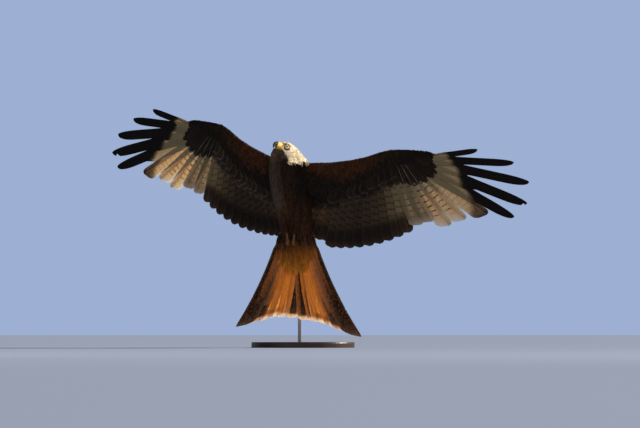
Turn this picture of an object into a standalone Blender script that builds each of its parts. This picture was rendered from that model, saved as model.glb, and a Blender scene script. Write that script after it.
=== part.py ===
"""A red kite in flight, life size, on a plain display stand.

Metres, +Z up. The bird hangs in the air as in the photograph: head up, tail down, its belly
towards -Y. Its own left wing is at +X. The origin is the centre of the base's underside.
"""
import math

import bmesh
import bpy
import numpy as np
from mathutils import Matrix, Vector

GAP = 0.0003

# The body's turn about its long axis, which brings its left side towards -Y
BODY_ROLL = math.radians(21.0)
BODY_LEFT = Vector((math.cos(BODY_ROLL), -math.sin(BODY_ROLL), 0.0))
BODY_BACK = Vector((math.sin(BODY_ROLL), math.cos(BODY_ROLL), 0.0))
UP = Vector((0.0, 0.0, 1.0))

# Cross-sections of the plumed body from the vent up: height, centre x, half width, half depth
BODY_SECTIONS = (
    (0.228, -0.0150, 0.021, 0.0060),
    (0.250, -0.0150, 0.030, 0.0090),
    (0.275, -0.0152, 0.034, 0.0135),
    (0.300, -0.0155, 0.038, 0.0190),
    (0.330, -0.0160, 0.043, 0.027),
    (0.355, -0.0170, 0.048, 0.034),
    (0.388, -0.0215, 0.056, 0.043),
    (0.444, -0.0285, 0.062, 0.052),
    (0.500, -0.0390, 0.066, 0.057),
    (0.555, -0.0490, 0.065, 0.058),
    (0.590, -0.0550, 0.061, 0.056),
    (0.614, -0.0570, 0.0555, 0.051),
    (0.628, -0.0575, 0.053, 0.044),
    (0.637, -0.0575, 0.045, 0.035),
    (0.643, -0.0575, 0.028, 0.022),
)
BODY_SIDES = 20
BODY_LEVELS = 22
NECK_LEVELS = 5
LEVEL_ROOM = 0.001
TAIL_TOP = 0.348
STUMP_END = 0.228
TAIL_SPARE = 0.012
TORSO_TOP = 0.600
NECK_TOP = 0.643
# The neck's own cross-sections: centre, half width, half depth, share of the head's direction
NAPE_SECTIONS = (
    (-0.0470, 0.0100, 0.6040, 0.060, 0.046, 0.0),
    (-0.0450, 0.0090, 0.6130, 0.066, 0.046, 0.0),
    (-0.0495, 0.0050, 0.6230, 0.062, 0.044, 0.08),
    (-0.0540, -0.0010, 0.6335, 0.054, 0.040, 0.20),
    (-0.0540, -0.0120, 0.6410, 0.044, 0.036, 0.40),
)
NAPE_END = (-17.0, 0.0, 1.0)
NAPE_END_RADII = (0.0340, 0.0320)
NAPE_END_SHARE = 0.58
THROAT_CENTRE = Vector((-0.0850, 0.0040, 0.6362))
THROAT_RADII = (0.0235, 0.0270, 0.0222)
THROAT_FACETS = (7, 12)

# The head's own axes and size; lengths in head terms are forward, left and up of its centre
HEAD_CENTRE = Vector((-0.0640, -0.0380, 0.6540))
HEAD_FORWARD = Vector((-0.62, -0.64, 0.45)).normalized()
HEAD_UP = HEAD_FORWARD.cross(Vector((0.76, -0.63, 0.17))).normalized()
HEAD_LEFT = HEAD_UP.cross(HEAD_FORWARD).normalized()
HEAD_SIZE = 1.12
# Forward place, half width, height above and depth below the centre, in mm before HEAD_SIZE
HEAD_SECTIONS = (
    (-34.0, 24.0, 20.0, 23.0),
    (-30.0, 28.0, 24.5, 27.5),
    (-20.0, 28.0, 27.0, 28.0),
    (-8.0, 26.5, 26.0, 25.0),
    (2.0, 23.5, 23.5, 21.0),
    (10.0, 18.5, 19.5, 17.5),
    (16.0, 13.0, 14.5, 14.5),
    (20.5, 9.2, 10.0, 11.5),
)
HEAD_SIDES = 22
HEAD_RINGS = 11
EYE_RADIUS = 0.0096
EYE_PLACE = (5.0, 16.6, -0.5)
EYE_AXIS = (0.30, 1.0, 0.10)
LID_RING = 0.0080
LID_THICKNESS = 0.0014
LID_SIDES = (14, 5)
EYE_FACETS = (8, 14)
NOSTRIL_FACETS = (6, 8)
BROW_PLACE = (7.0, 20.6, 8.2)
BROW_RADII = (12.0, 5.5, 2.6)
# The bill's middle line forward and up, with half height and half width, in mm
BILL_UPPER = (
    (21.0, 0.6, 9.2, 8.4),
    (26.0, 0.3, 8.4, 7.2),
    (31.0, -0.9, 7.4, 5.9),
    (36.0, -3.6, 6.2, 4.6),
    (40.0, -8.2, 4.8, 3.3),
    (42.0, -13.4, 3.3, 2.2),
    (42.0, -18.4, 1.9, 1.3),
    (40.6, -23.6, 0.5, 0.4),
)
BILL_LOWER = (
    (18.0, -12.2, 3.0, 7.0),
    (24.0, -12.4, 3.1, 6.2),
    (30.0, -12.8, 2.7, 4.8),
    (34.0, -13.2, 2.0, 3.2),
    (36.5, -13.4, 0.8, 1.4),
)
BILL_SIDES = 12
NOSTRIL_PLACE = (25.6, 6.7, 2.6)
NOSTRIL_RADII = (2.3, 2.2, 1.1)
GAPE_CORNER = (7.5, -9.5)
GAPE_FRONT = (21.5, -9.0)
GAPE_SLOT = 0.0007
GAPE_SIDES = (4.0, 40.0)

# One wing's flat pattern, from its wrist: outward and up. Both wings use it.
WRIST_ROOM = 0.10
SHOULDER = (-0.300, -0.040)
ELBOW = (-0.160, -0.074)
PRIMARY_FIRST_ROOT = (0.010, -0.013)
PRIMARY_ROOT_STEP = (0.00933, -0.0010)
PRIMARY_LENGTHS = (0.250, 0.253, 0.291, 0.303, 0.341, 0.407, 0.418, 0.396, 0.327, 0.198)
PRIMARY_TURNS = (-68.7, -61.4, -54.6, -45.7, -35.3, -29.2, -21.4, -11.8, -2.6, 8.2)
PRIMARY_HALVES = ((0.016, 0.034), (0.016, 0.034), (0.016, 0.034), (0.017, 0.035), (0.016, 0.034),
                  (0.011, 0.021), (0.011, 0.021), (0.010, 0.020), (0.009, 0.016), (0.005, 0.011))
PRIMARY_FINGERS = (1.0, 1.0, 1.0, 1.0, 1.0, 0.60, 0.50, 0.41, 0.34, 0.42)
SECONDARIES = 11
SECONDARY_FIRST_ROOT = (0.0, -0.012)
SECONDARY_LENGTH = 0.277
SECONDARY_TAPER = 0.00075
SECONDARY_MIDDLE = 5
SECONDARY_FIRST_TURN = -75.9
SECONDARY_TURN_STEP = -3.65
SECONDARY_TURN_EASE = 0.16
SECONDARY_EASE_FROM = 6
TERTIAL_TURN = -108.5
TERTIAL_LENGTH = 0.240
TERTIAL_STEP = 0.012
TERTIALS = 3
# The leading edge of the plumed wing and the rear of its thick part
CORE_STATIONS = (
    (-0.320, -0.030, -0.170, 0.0125),
    (-0.264, -0.034, -0.160, 0.0125),
    (-0.198, -0.033, -0.150, 0.0120),
    (-0.131, -0.026, -0.135, 0.0110),
    (-0.080, -0.016, -0.115, 0.0100),
    (-0.034, -0.001, -0.090, 0.0090),
    (0.001, 0.007, -0.072, 0.0080),
    (0.031, 0.008, -0.062, 0.0070),
    (0.067, 0.006, -0.052, 0.0060),
    (0.097, 0.003, -0.044, 0.0050),
    (0.125, -0.001, -0.034, 0.0040),
    (0.150, -0.006, -0.024, 0.0022),
)
# Across that part, front to rear: part of the way, part of its half thickness
CORE_SHAPE = ((0.0, 0.0), (0.03, 0.55), (0.12, 0.92), (0.30, 1.0), (0.55, 0.82), (0.80, 0.50),
              (1.0, 0.20))
CAMBER = 0.22
# The reach of the pattern, the room either side of the wrist in which arm turns into hand, and
# where the hand's bones run
PATTERN_ENDS = (-0.40, 0.56)
PATTERN_STEPS = 385
TURN_ROOM = 0.04
HAND_LINE = (0.1, -0.022)
BONE_REACH = (1.6, 2.0)

# How each wing is held: wrist place, turn of arm and hand in the flat pattern, tilt of each
# about the body's long axis, curl of the fingers, and the feathers' own turns and lengths
LEFT_WING = {
    "side": 1.0,
    "wrist": (0.2866, -0.022, 0.6472),
    "arm_turn": 0.0,
    "hand_turn": 0.0,
    "arm_tilt": -9.0,
    "hand_tilt": 1.0,
    "curl": 0.6,
    "primary_turns": (0.0,) * 10,
    "primary_stretch": (1.0,) * 10,
    "secondary_turns": (0.0, 0.0),
    "secondary_stretch": (1.0, 1.0),
    "finger_width": 1.0,
}
RIGHT_WING = {
    "side": -1.0,
    "wrist": (-0.2731, 0.178, 0.7444),
    "arm_turn": 19.9,
    "hand_turn": 12.7,
    "arm_tilt": 29.5,
    "hand_tilt": 36.7,
    "curl": 0.1,
    "primary_turns": (3.8, 6.8, 8.8, 10.1, 9.3, 13.6, 12.7, 11.2, 11.0, 11.1),
    "primary_stretch": (0.95, 0.95, 0.95, 0.955, 0.98, 1.044, 1.026, 0.98, 0.95, 1.115),
    "secondary_turns": (0.8, -1.6),
    "secondary_stretch": (0.95, 1.075),
    "finger_width": 1.14,
}
VANE_THICKNESS = 0.00065
VANE_STEP = 0.0014
THIN_FROM = 0.9
THIN_SHARE = 0.8
ARM_HALVES = (0.016, 0.027)
TERTIAL_HALVES = (0.016, 0.024)
# Along a feather: part of its length, parts of its half widths ahead and behind the shaft
BROAD_PROFILE = ((0.0, 0.25, 0.25), (0.40, 0.9, 0.9), (0.82, 1.0, 1.0), (0.95, 0.70, 0.75),
                 (1.0, 0.22, 0.30))
FINGER_BASE = ((0.0, 0.35, 0.35), (0.5, 0.9, 1.5), (1.0, 1.1, 1.5))
FINGER_STEP = 0.10
FINGER_END = ((0.82, 0.9, 0.95), (0.95, 0.55, 0.60), (1.0, 0.12, 0.15))

COVERT_RISE = 0.0042
COVERT_SUNK = 0.040
COVERT_SHOWN_ARM = 0.052
COVERT_SHOWN_HAND = 0.036
COVERT_PROFILE = ((0.0, 0.80, 1.0), (0.84, 0.95, 1.0), (1.0, 0.28, 0.8))
COVERT_WIDTH_SHARE = 0.62
COVERT_HALVES = (0.007, 0.0135)
MOST_ROLL = 0.25
LEAST_APART = 1e-4
REACH_STEP = 0.002
REACH_END = 0.4

# The tail: a fan of twelve feathers, the outer ones longest
TAIL_ROOT = Vector((-0.0165, 0.0, 0.345))
TAIL_ROLL = math.radians(18.0)
TAIL_LENGTHS = (0.256, 0.264, 0.280, 0.306, 0.336, 0.366)
TAIL_TURNS_LEFT = (4.6, 12.8, 19.9, 25.2, 29.7, 34.0)
TAIL_TURNS_RIGHT = (5.6, 13.4, 20.5, 26.3, 32.2, 36.6)
TAIL_STRETCH_LEFT = 1.025
TAIL_STRETCH_RIGHT = 0.945
TAIL_SPREAD_LEFT = 0.0565
TAIL_SPREAD_RIGHT = 0.0705
TAIL_ROOT_DOWN = -0.010
TAIL_FIRST_HEADING = 19.0
TAIL_OUTER_HALVES = (0.020, 0.018, 0.016, 0.015, 0.014, 0.013)
TAIL_INNER_HALVES = (0.022, 0.024, 0.027, 0.030, 0.033, 0.037)
TAIL_LAYER = 0.00115
TAIL_TOP_LAYER = 0.0029
# The flat plumed base of the spread tail: down from the root, half width, half depth
FAN_BASE = (
    (-0.018, 0.048, 0.0050),
    (-0.003, 0.058, 0.0064),
    (0.026, 0.068, 0.0072),
    (0.062, 0.072, 0.0064),
    (0.098, 0.050, 0.0036),
)
FAN_BASE_MIDDLE = -0.006
FAN_BASE_SIDES = 14
FAN_BASE_SQUARE = 0.6
TAIL_BEND = 0.5
# Along a tail feather: part of its length, parts of its outer and inner half widths
TAIL_PROFILE = ((0.0, 0.85, 0.4), (0.3, 0.95, 0.85), (0.6, 1.0, 1.0), (0.92, 0.9, 0.8),
                (1.0, 0.45, 0.20))

TUBE_LEAN = 0.13
THIGH_CENTRE_HEIGHT = 0.428
THIGH_SIDE = 0.026
THIGH_SUNK = 0.001
THIGH_RADII = (0.0150, 0.0135, 0.0420)
THIGH_LEAN = 0.16
TARSUS_TOP = (0.0170, 0.0060, 0.398)
TARSUS_END = (0.0110, 0.0150, 0.353)
TARSUS_RADIUS = 0.0036
FOOT_SHIFT = -0.0070
# Each toe's place across the foot from the midline, length, first and last heading, in degrees
# from straight down towards the belly, and its claw's length and last heading
TOES = (
    (0.0066, 0.024, 50.0, -105.0, 0.0120, -185.0),
    (0.0111, 0.029, 52.0, -110.0, 0.0115, -190.0),
    (0.0156, 0.023, 50.0, -100.0, 0.0105, -180.0),
    (0.0034, 0.013, -60.0, 0.0, 0.0120, 75.0),
)
TOE_RADII = (0.0031, 0.0022)
SHANK_PARTS = (0.0, 0.35, 0.7, 1.0)
ANKLE_RADIUS = 0.0043
TOE_SPREAD = (0.55, 0.45)
CLAW_SUNK = 0.25
LEG_FACETS = (10, 14)
TOE_SIDES = 6
CLAW_SIDES = 5
TOE_STEPS = 4
CLAW_STEPS = 3
CLAW_RADII = (0.0019, 0.0003)

BASE_RADIUS = 0.170
BASE_HEIGHT = 0.018
BASE_BEVEL = 0.003
ROD_RADIUS = 0.0055
ROD_FOOT = Vector((-0.012, 0.086, BASE_HEIGHT + GAP))
ROD_CORNER = Vector((-0.012, 0.086, 0.487))
ROD_STRAIGHT = 0.445
ROD_TIP = Vector((-0.026, 0.038, 0.493))
ROD_BENDS = 7
BASE_SIDES = 64
MERGE = 1e-6


def clear_scene():
    """Starts from an empty scene"""
    for item in list(bpy.data.objects):
        bpy.data.objects.remove(item, do_unlink=True)


def finish_material(name, colour, roughness, metallic=0.0):
    """A plain material of one colour, given as sRGB parts"""
    material = bpy.data.materials.new(name)
    material.use_nodes = True
    shader = material.node_tree.nodes["Principled BSDF"]
    linear = [pow(part, 2.2) for part in colour]
    shader.inputs["Base Color"].default_value = (*linear, 1.0)
    shader.inputs["Roughness"].default_value = roughness
    shader.inputs["Metallic"].default_value = metallic
    return material


def add_object(name, mesh, material, collection):
    """Puts a mesh into the scene as one named object"""
    made = bpy.data.objects.new(name, mesh)
    mesh.materials.append(material)
    collection.objects.link(made)
    return made


def loft_mesh(name, rings):
    """A closed mesh through rings of equal point counts, with a fan at each end"""
    form = bmesh.new()
    loops = [[form.verts.new(point) for point in ring] for ring in rings]
    count = len(loops[0])
    for lower, upper in zip(loops, loops[1:]):
        for index in range(count):
            after = (index + 1) % count
            form.faces.new((lower[index], lower[after], upper[after], upper[index]))
    for loop in (loops[0], loops[-1]):
        middle = form.verts.new(sum((vert.co for vert in loop), Vector()) / count)
        for index in range(count):
            form.faces.new((loop[index], loop[(index + 1) % count], middle))
    bmesh.ops.recalc_face_normals(form, faces=form.faces)
    bmesh.ops.triangulate(form, faces=form.faces)
    mesh = bpy.data.meshes.new(name)
    form.to_mesh(mesh)
    form.free()
    return mesh


def keep_largest(thing):
    """Leaves only the closed surface that holds the most space"""
    form = bmesh.new()
    form.from_mesh(thing.data)
    form.verts.ensure_lookup_table()
    seen = set()
    pieces = []
    for start in form.verts:
        if start in seen:
            continue
        piece = {start}
        edge_of_search = [start]
        while edge_of_search:
            here = edge_of_search.pop()
            for edge in here.link_edges:
                other = edge.other_vert(here)
                if other not in piece:
                    piece.add(other)
                    edge_of_search.append(other)
        seen |= piece
        pieces.append(piece)
    sizes = []
    for piece in pieces:
        faces = {face for vert in piece for face in vert.link_faces}
        volume = 0.0
        for face in faces:
            corners = [vert.co for vert in face.verts]
            for second, third in zip(corners[1:], corners[2:]):
                volume += corners[0].dot(second.cross(third)) / 6.0
        sizes.append(volume)
    best = sizes.index(max(sizes))
    for index, piece in enumerate(pieces):
        if index != best:
            bmesh.ops.delete(form, geom=list(piece), context="VERTS")
    form.to_mesh(thing.data)
    form.free()


def apply_boolean(thing, operation, other=None, group=None, solver="EXACT"):
    """Cuts or joins with one object or a collection of them, and applies it"""
    change = thing.modifiers.new("shape", "BOOLEAN")
    change.operation = operation
    change.solver = solver
    if group is not None:
        change.operand_type = "COLLECTION"
        change.collection = group
    else:
        change.object = other
    shaped = bpy.data.meshes.new_from_object(
        thing.evaluated_get(bpy.context.evaluated_depsgraph_get()))
    thing.modifiers.remove(change)
    old = thing.data
    thing.data = shaped
    bpy.data.meshes.remove(old)
    form = bmesh.new()
    form.from_mesh(shaped)
    bmesh.ops.triangulate(form, faces=form.faces)
    form.to_mesh(shaped)
    form.free()


def cut_away(thing, mesh):
    """Takes the space of a closed mesh out of an object"""
    cutter = bpy.data.objects.new("cutter", mesh)
    bpy.context.scene.collection.objects.link(cutter)
    apply_boolean(thing, "DIFFERENCE", other=cutter)
    bpy.data.objects.remove(cutter, do_unlink=True)
    keep_largest(thing)


def join_all(thing, meshes, solver="EXACT"):
    """Fuses closed meshes to an object and keeps the one body that results"""
    group = bpy.data.collections.new("pieces")
    bpy.context.scene.collection.children.link(group)
    for mesh in meshes:
        group.objects.link(bpy.data.objects.new("piece", mesh))
    apply_boolean(thing, "UNION", group=group, solver=solver)
    for piece in list(group.objects):
        bpy.data.objects.remove(piece, do_unlink=True)
    bpy.data.collections.remove(group)
    keep_largest(thing)


def smooth_rows(rows, keys):
    """Reads a table of sizes at new places on a smooth curve through its rows"""
    table = np.array(rows)
    places = table[:, 0]
    slopes = np.gradient(table, places, axis=0)
    result = []
    for key in keys:
        index = int(np.clip(np.searchsorted(places, key) - 1, 0, len(places) - 2))
        span = places[index + 1] - places[index]
        part = (key - places[index]) / span
        first = 2 * part ** 3 - 3 * part ** 2 + 1
        second = part ** 3 - 2 * part ** 2 + part
        third = -2 * part ** 3 + 3 * part ** 2
        fourth = part ** 3 - part ** 2
        result.append(first * table[index] + second * span * slopes[index]
                      + third * table[index + 1] + fourth * span * slopes[index + 1])
    return result


def body_ring(height, grow=0.0):
    """One level cross-section of the plumed body"""
    _, centre, half_width, half_depth = smooth_rows(BODY_SECTIONS, [height])[0]
    ring = []
    for index in range(BODY_SIDES):
        angle = 2 * math.pi * index / BODY_SIDES
        across = BODY_LEFT * ((half_width + grow) * math.cos(angle))
        deep = BODY_BACK * ((half_depth + grow) * math.sin(angle))
        ring.append(Vector((centre, 0.0, height)) + across + deep)
    return ring


def body_mesh(name, bottom, top, grow=0.0):
    """A length of the body between two heights, on the levels that all its lengths share"""
    levels = {STUMP_END, TAIL_TOP, TORSO_TOP, NECK_TOP}
    levels |= set(np.linspace(STUMP_END, TORSO_TOP, BODY_LEVELS))
    levels |= set(np.linspace(TORSO_TOP, NECK_TOP, NECK_LEVELS))
    heights = [bottom]
    for level in sorted(levels):
        if heights[-1] + LEVEL_ROOM < level < top - LEVEL_ROOM:
            heights.append(level)
    rings = [body_ring(height, grow) for height in heights + [top]]
    if grow:
        rings[-1] = [point + UP * grow for point in rings[-1]]
    return loft_mesh(name, rings)


def head_point(forward, left, up):
    """A place in head terms, in mm, as a place in the world"""
    scale = 0.001 * HEAD_SIZE
    return (HEAD_CENTRE + HEAD_FORWARD * (forward * scale) + HEAD_LEFT * (left * scale)
            + HEAD_UP * (up * scale))


def head_mesh(grow=0.0):
    """The feathered head without the bill"""
    more = grow * 1000 / HEAD_SIZE
    places = np.linspace(HEAD_SECTIONS[0][0], HEAD_SECTIONS[-1][0], HEAD_RINGS)
    rings = []
    for number, row in enumerate(smooth_rows(HEAD_SECTIONS, places)):
        forward, half_width, above, below = row
        forward += more * (-1 if number == 0 else 1 if number == len(places) - 1 else 0)
        ring = []
        for index in range(HEAD_SIDES):
            angle = 2 * math.pi * index / HEAD_SIDES
            height = above if math.sin(angle) > 0 else below
            ring.append(head_point(forward, (half_width + more) * math.cos(angle),
                                   (height + more) * math.sin(angle)))
        rings.append(ring)
    return loft_mesh("head", rings)


def bill_mesh(name, rows, grow=0.0):
    """A half of the bill along its curved middle line"""
    more = grow * 1000 / HEAD_SIZE
    line = np.array(rows)[:, :2]
    tangents = np.gradient(line, axis=0)
    rings = []
    for number, (forward, up, half_height, half_width) in enumerate(rows):
        along = tangents[number] / np.linalg.norm(tangents[number])
        normal = np.array((-along[1], along[0]))
        ends = {0: -more, len(rows) - 1: more}
        middle = np.array((forward, up)) + along * ends.get(number, 0.0)
        ring = []
        for index in range(BILL_SIDES):
            angle = 2 * math.pi * index / BILL_SIDES
            place = middle + normal * ((half_height + more) * math.sin(angle))
            ring.append(head_point(place[0], (half_width + more) * math.cos(angle), place[1]))
        rings.append(ring)
    return loft_mesh(name, rings)


def ball_mesh(name, centre, radii, axes, rings=8, sides=12):
    """An ellipsoid with its own three axes"""
    form = bmesh.new()
    bmesh.ops.create_uvsphere(form, u_segments=sides, v_segments=rings, radius=1.0)
    turn = Matrix((axes[0], axes[1], axes[2])).transposed().to_4x4()
    sizes = Matrix.Diagonal((*radii, 1.0))
    bmesh.ops.transform(form, matrix=Matrix.Translation(centre) @ turn @ sizes, verts=form.verts)
    bmesh.ops.triangulate(form, faces=form.faces)
    mesh = bpy.data.meshes.new(name)
    form.to_mesh(mesh)
    form.free()
    return mesh


def head_axes():
    """The head's forward, left and up directions"""
    return (HEAD_FORWARD, HEAD_LEFT, HEAD_UP)


def eye_axis(side):
    """The way an eye looks"""
    forward, left, up = EYE_AXIS
    return (HEAD_FORWARD * forward + HEAD_LEFT * (left * side) + HEAD_UP * up).normalized()


def eye_centre(side):
    """The middle of an eyeball"""
    forward, left, up = EYE_PLACE
    return head_point(forward, left * side, up)


def lid_mesh(side):
    """The ring of lids in front of an eyeball"""
    axis = eye_axis(side)
    across = axis.cross(HEAD_UP).normalized()
    over = across.cross(axis).normalized()
    reach = math.sqrt((EYE_RADIUS + GAP + LID_THICKNESS) ** 2 - LID_RING ** 2)
    middle = eye_centre(side) + axis * reach
    form = bmesh.new()
    sides, tube = LID_SIDES
    loops = []
    for index in range(sides):
        angle = 2 * math.pi * index / sides
        outward = across * math.cos(angle) + over * (math.sin(angle))
        loop = []
        for step in range(tube):
            turn = 2 * math.pi * step / tube
            place = (middle + outward * (LID_RING + LID_THICKNESS * math.cos(turn))
                     + axis * (LID_THICKNESS * math.sin(turn)))
            loop.append(form.verts.new(place))
        loops.append(loop)
    for index in range(sides):
        here, there = loops[index], loops[(index + 1) % sides]
        for step in range(tube):
            after = (step + 1) % tube
            form.faces.new((here[step], here[after], there[after], there[step]))
    bmesh.ops.recalc_face_normals(form, faces=form.faces)
    bmesh.ops.triangulate(form, faces=form.faces)
    mesh = bpy.data.meshes.new("lid")
    form.to_mesh(mesh)
    form.free()
    return mesh


def gape_mesh(side):
    """The thin slot that carries the line of the mouth back below the eye"""
    rings = []
    inner, outer = GAPE_SIDES
    half = GAPE_SLOT * 500 / HEAD_SIZE
    for forward, up in (GAPE_CORNER, GAPE_FRONT):
        rings.append([head_point(forward, inner * side, up - half),
                      head_point(forward, outer * side, up - half),
                      head_point(forward, outer * side, up + half),
                      head_point(forward, inner * side, up + half)])
    return loft_mesh("gape", rings)


def build_head(finishes, collection):
    """Head, bill and eyes"""
    head = add_object("head", head_mesh(), finishes["cream"], collection)
    extras = []
    for side in (1.0, -1.0):
        forward, left, up = BROW_PLACE
        radii = [size * 0.001 * HEAD_SIZE for size in BROW_RADII]
        extras.append(ball_mesh("brow", head_point(forward, left * side, up), radii, head_axes()))
        extras.append(lid_mesh(side))
    join_all(head, extras)
    for side in (1.0, -1.0):
        grown = EYE_RADIUS + GAP
        cut_away(head, ball_mesh("socket", eye_centre(side), (grown,) * 3, head_axes(), *EYE_FACETS))
        cut_away(head, gape_mesh(side))
    cut_away(head, bill_mesh("cutter", BILL_LOWER, GAP))
    upper = add_object("bill_upper", bill_mesh("bill_upper", BILL_UPPER), finishes["horn"], collection)
    cut_away(upper, head_mesh(GAP))
    cut_away(upper, bill_mesh("cutter", BILL_LOWER, GAP))
    for side in (1.0, -1.0):
        forward, left, up = NOSTRIL_PLACE
        radii = [size * 0.001 * HEAD_SIZE for size in NOSTRIL_RADII]
        cut_away(upper, ball_mesh("nostril", head_point(forward, left * side, up), radii, head_axes(),
                                *NOSTRIL_FACETS))
    add_object("bill_lower", bill_mesh("bill_lower", BILL_LOWER), finishes["horn"], collection)
    for name, side in (("eye_left", 1.0), ("eye_right", -1.0)):
        ball = ball_mesh(name, eye_centre(side), (EYE_RADIUS,) * 3, head_axes(), *EYE_FACETS)
        add_object(name, ball, finishes["eye"], collection)
    return head


def nape_mesh(grow=0.0):
    """The plumed neck from inside the shoulders to the back of the head"""
    rows = [(Vector(row[:3]), row[3], row[4], row[5]) for row in NAPE_SECTIONS]
    rows.append((head_point(*NAPE_END), *NAPE_END_RADII, NAPE_END_SHARE))
    rings = []
    for middle, half_width, half_depth, share in rows:
        along = UP.lerp(HEAD_FORWARD, share).normalized()
        left = BODY_LEFT.lerp(HEAD_LEFT, share)
        left = (left - along * left.dot(along)).normalized()
        over = along.cross(left)
        rings.append([middle + left * ((half_width + grow) * math.cos(angle))
                      + over * ((half_depth + grow) * math.sin(angle))
                      for angle in np.linspace(0, 2 * math.pi, BODY_SIDES, endpoint=False)])
    return loft_mesh("nape", rings)


def throat_mesh(grow=0.0):
    """The full throat beside and below the bill"""
    radii = [size + grow for size in THROAT_RADII]
    return ball_mesh("throat", THROAT_CENTRE, radii, (BODY_LEFT, BODY_BACK, UP), *THROAT_FACETS)


def build_body(finishes, collection):
    """Neck, torso and the plumed stump of the tail"""
    add_object("torso", body_mesh("torso", TAIL_TOP + GAP, TORSO_TOP), finishes["rufous"],
               collection)
    neck = add_object("neck", body_mesh("neck", TORSO_TOP + GAP, NECK_TOP), finishes["grey"],
                      collection)
    join_all(neck, [nape_mesh(), throat_mesh()])
    cut_away(neck, head_mesh(GAP))
    cut_away(neck, bill_mesh("cutter", BILL_LOWER, GAP))
    cut_away(neck, bill_mesh("cutter", BILL_UPPER, GAP))
    for side in (1.0, -1.0):
        clear = (EYE_RADIUS + 2 * GAP,) * 3
        cut_away(neck, ball_mesh("cutter", eye_centre(side), clear, head_axes(), *EYE_FACETS))
    return neck


class Wing:
    """Where the flat pattern of a wing lies in space"""

    def __init__(self, pose):
        self.pose = pose
        self.side = pose["side"]
        self.wrist = Vector(pose["wrist"])
        self.places = np.linspace(*PATTERN_ENDS, PATTERN_STEPS)
        tilts = self.tilt(self.places)
        step = self.places[1] - self.places[0]
        middle = int(np.argmin(np.abs(self.places)))
        self.out = np.concatenate([[0.0], np.cumsum(np.cos((tilts[1:] + tilts[:-1]) / 2) * step)])
        self.deep = np.concatenate([[0.0], np.cumsum(np.sin((tilts[1:] + tilts[:-1]) / 2) * step)])
        self.out -= self.out[middle]
        self.deep -= self.deep[middle]

    def tilt(self, place):
        """The wing's tilt about the body's long axis at a distance out from the wrist"""
        place = np.asarray(place, dtype=float)
        blend = np.clip((place + WRIST_ROOM) / (2 * WRIST_ROOM), 0.0, 1.0)
        blend = blend * blend * (3 - 2 * blend)
        arm = math.radians(self.pose["arm_tilt"])
        hand = math.radians(self.pose["hand_tilt"])
        return arm + (hand - arm) * blend + self.pose["curl"] * np.clip(place, 0.0, None) ** 2

    def turned(self, point):
        """A point of the pattern after the arm or the hand has turned in the wing's plane"""
        blend = min(max((point[0] + TURN_ROOM) / (2 * TURN_ROOM), 0.0), 1.0)
        blend = blend * blend * (3 - 2 * blend)
        turn = self.pose["arm_turn"] + (self.pose["hand_turn"] - self.pose["arm_turn"]) * blend
        angle = math.radians(turn)
        return (point[0] * math.cos(angle) - point[1] * math.sin(angle),
                point[0] * math.sin(angle) + point[1] * math.cos(angle))

    def bone_height(self, out):
        """How high the bones of arm and hand lie at a distance out from the wrist"""
        elbow = self.turned(ELBOW)
        if out < 0.0:
            return elbow[1] * min(out / elbow[0], BONE_REACH[0])
        tip = self.turned(HAND_LINE)
        return tip[1] * min(out / tip[0], BONE_REACH[1])

    def point(self, out, up, rise=0.0):
        """A place in space: out from the wrist, up, and dorsally off the wing's plane"""
        tilt = float(self.tilt(out))
        normal = Vector((-self.side * math.sin(tilt), math.cos(tilt), 0.0))
        across = float(np.interp(out, self.places, self.out))
        deep = float(np.interp(out, self.places, self.deep))
        droop = CAMBER * (up - self.bone_height(out)) ** 2
        flat = Vector((self.wrist.x + self.side * across, self.wrist.y + deep - droop,
                       self.wrist.z + up))
        return flat + normal * rise


def wing_core_mesh(wing):
    """The thick part of a wing: arm, hand and the small coverts on them"""
    rings = []
    for out, lead, rear, half in CORE_STATIONS:
        ring = []
        for part, swell in CORE_SHAPE:
            place = wing.turned((out, lead + (rear - lead) * part))
            ring.append(wing.point(*place, half * swell))
        for part, swell in reversed(CORE_SHAPE[1:]):
            place = wing.turned((out, lead + (rear - lead) * part))
            ring.append(wing.point(*place, -half * swell))
        rings.append(ring)
    return loft_mesh("core", rings)


def slab_mesh(name, place, stations):
    """A thin feather through stations: middle, side way, two half widths, rise, roll, thickness

    Both faces are split into triangles alike, so that they never cross.
    """
    form = bmesh.new()
    rows = []
    for middle, way, ahead, behind, rise, roll, thick in stations:
        row = []
        for reach, half in ((ahead, 1), (-behind, 1), (-behind, -1), (ahead, -1)):
            out = middle[0] + way[0] * reach
            up = middle[1] + way[1] * reach
            row.append(form.verts.new(place(out, up, rise + roll * reach + half * thick / 2)))
        rows.append(row)
    for here, there in zip(rows, rows[1:]):
        form.faces.new((here[0], here[1], there[1]))
        form.faces.new((here[0], there[1], there[0]))
        form.faces.new((here[3], there[2], here[2]))
        form.faces.new((here[3], there[3], there[2]))
        form.faces.new((here[1], here[2], there[2]))
        form.faces.new((here[1], there[2], there[1]))
        form.faces.new((here[3], here[0], there[0]))
        form.faces.new((here[3], there[0], there[3]))
    for row in (rows[0], rows[-1]):
        form.faces.new((row[0], row[1], row[2]))
        form.faces.new((row[0], row[2], row[3]))
    bmesh.ops.recalc_face_normals(form, faces=form.faces)
    mesh = bpy.data.meshes.new(name)
    form.to_mesh(mesh)
    form.free()
    return mesh


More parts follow.
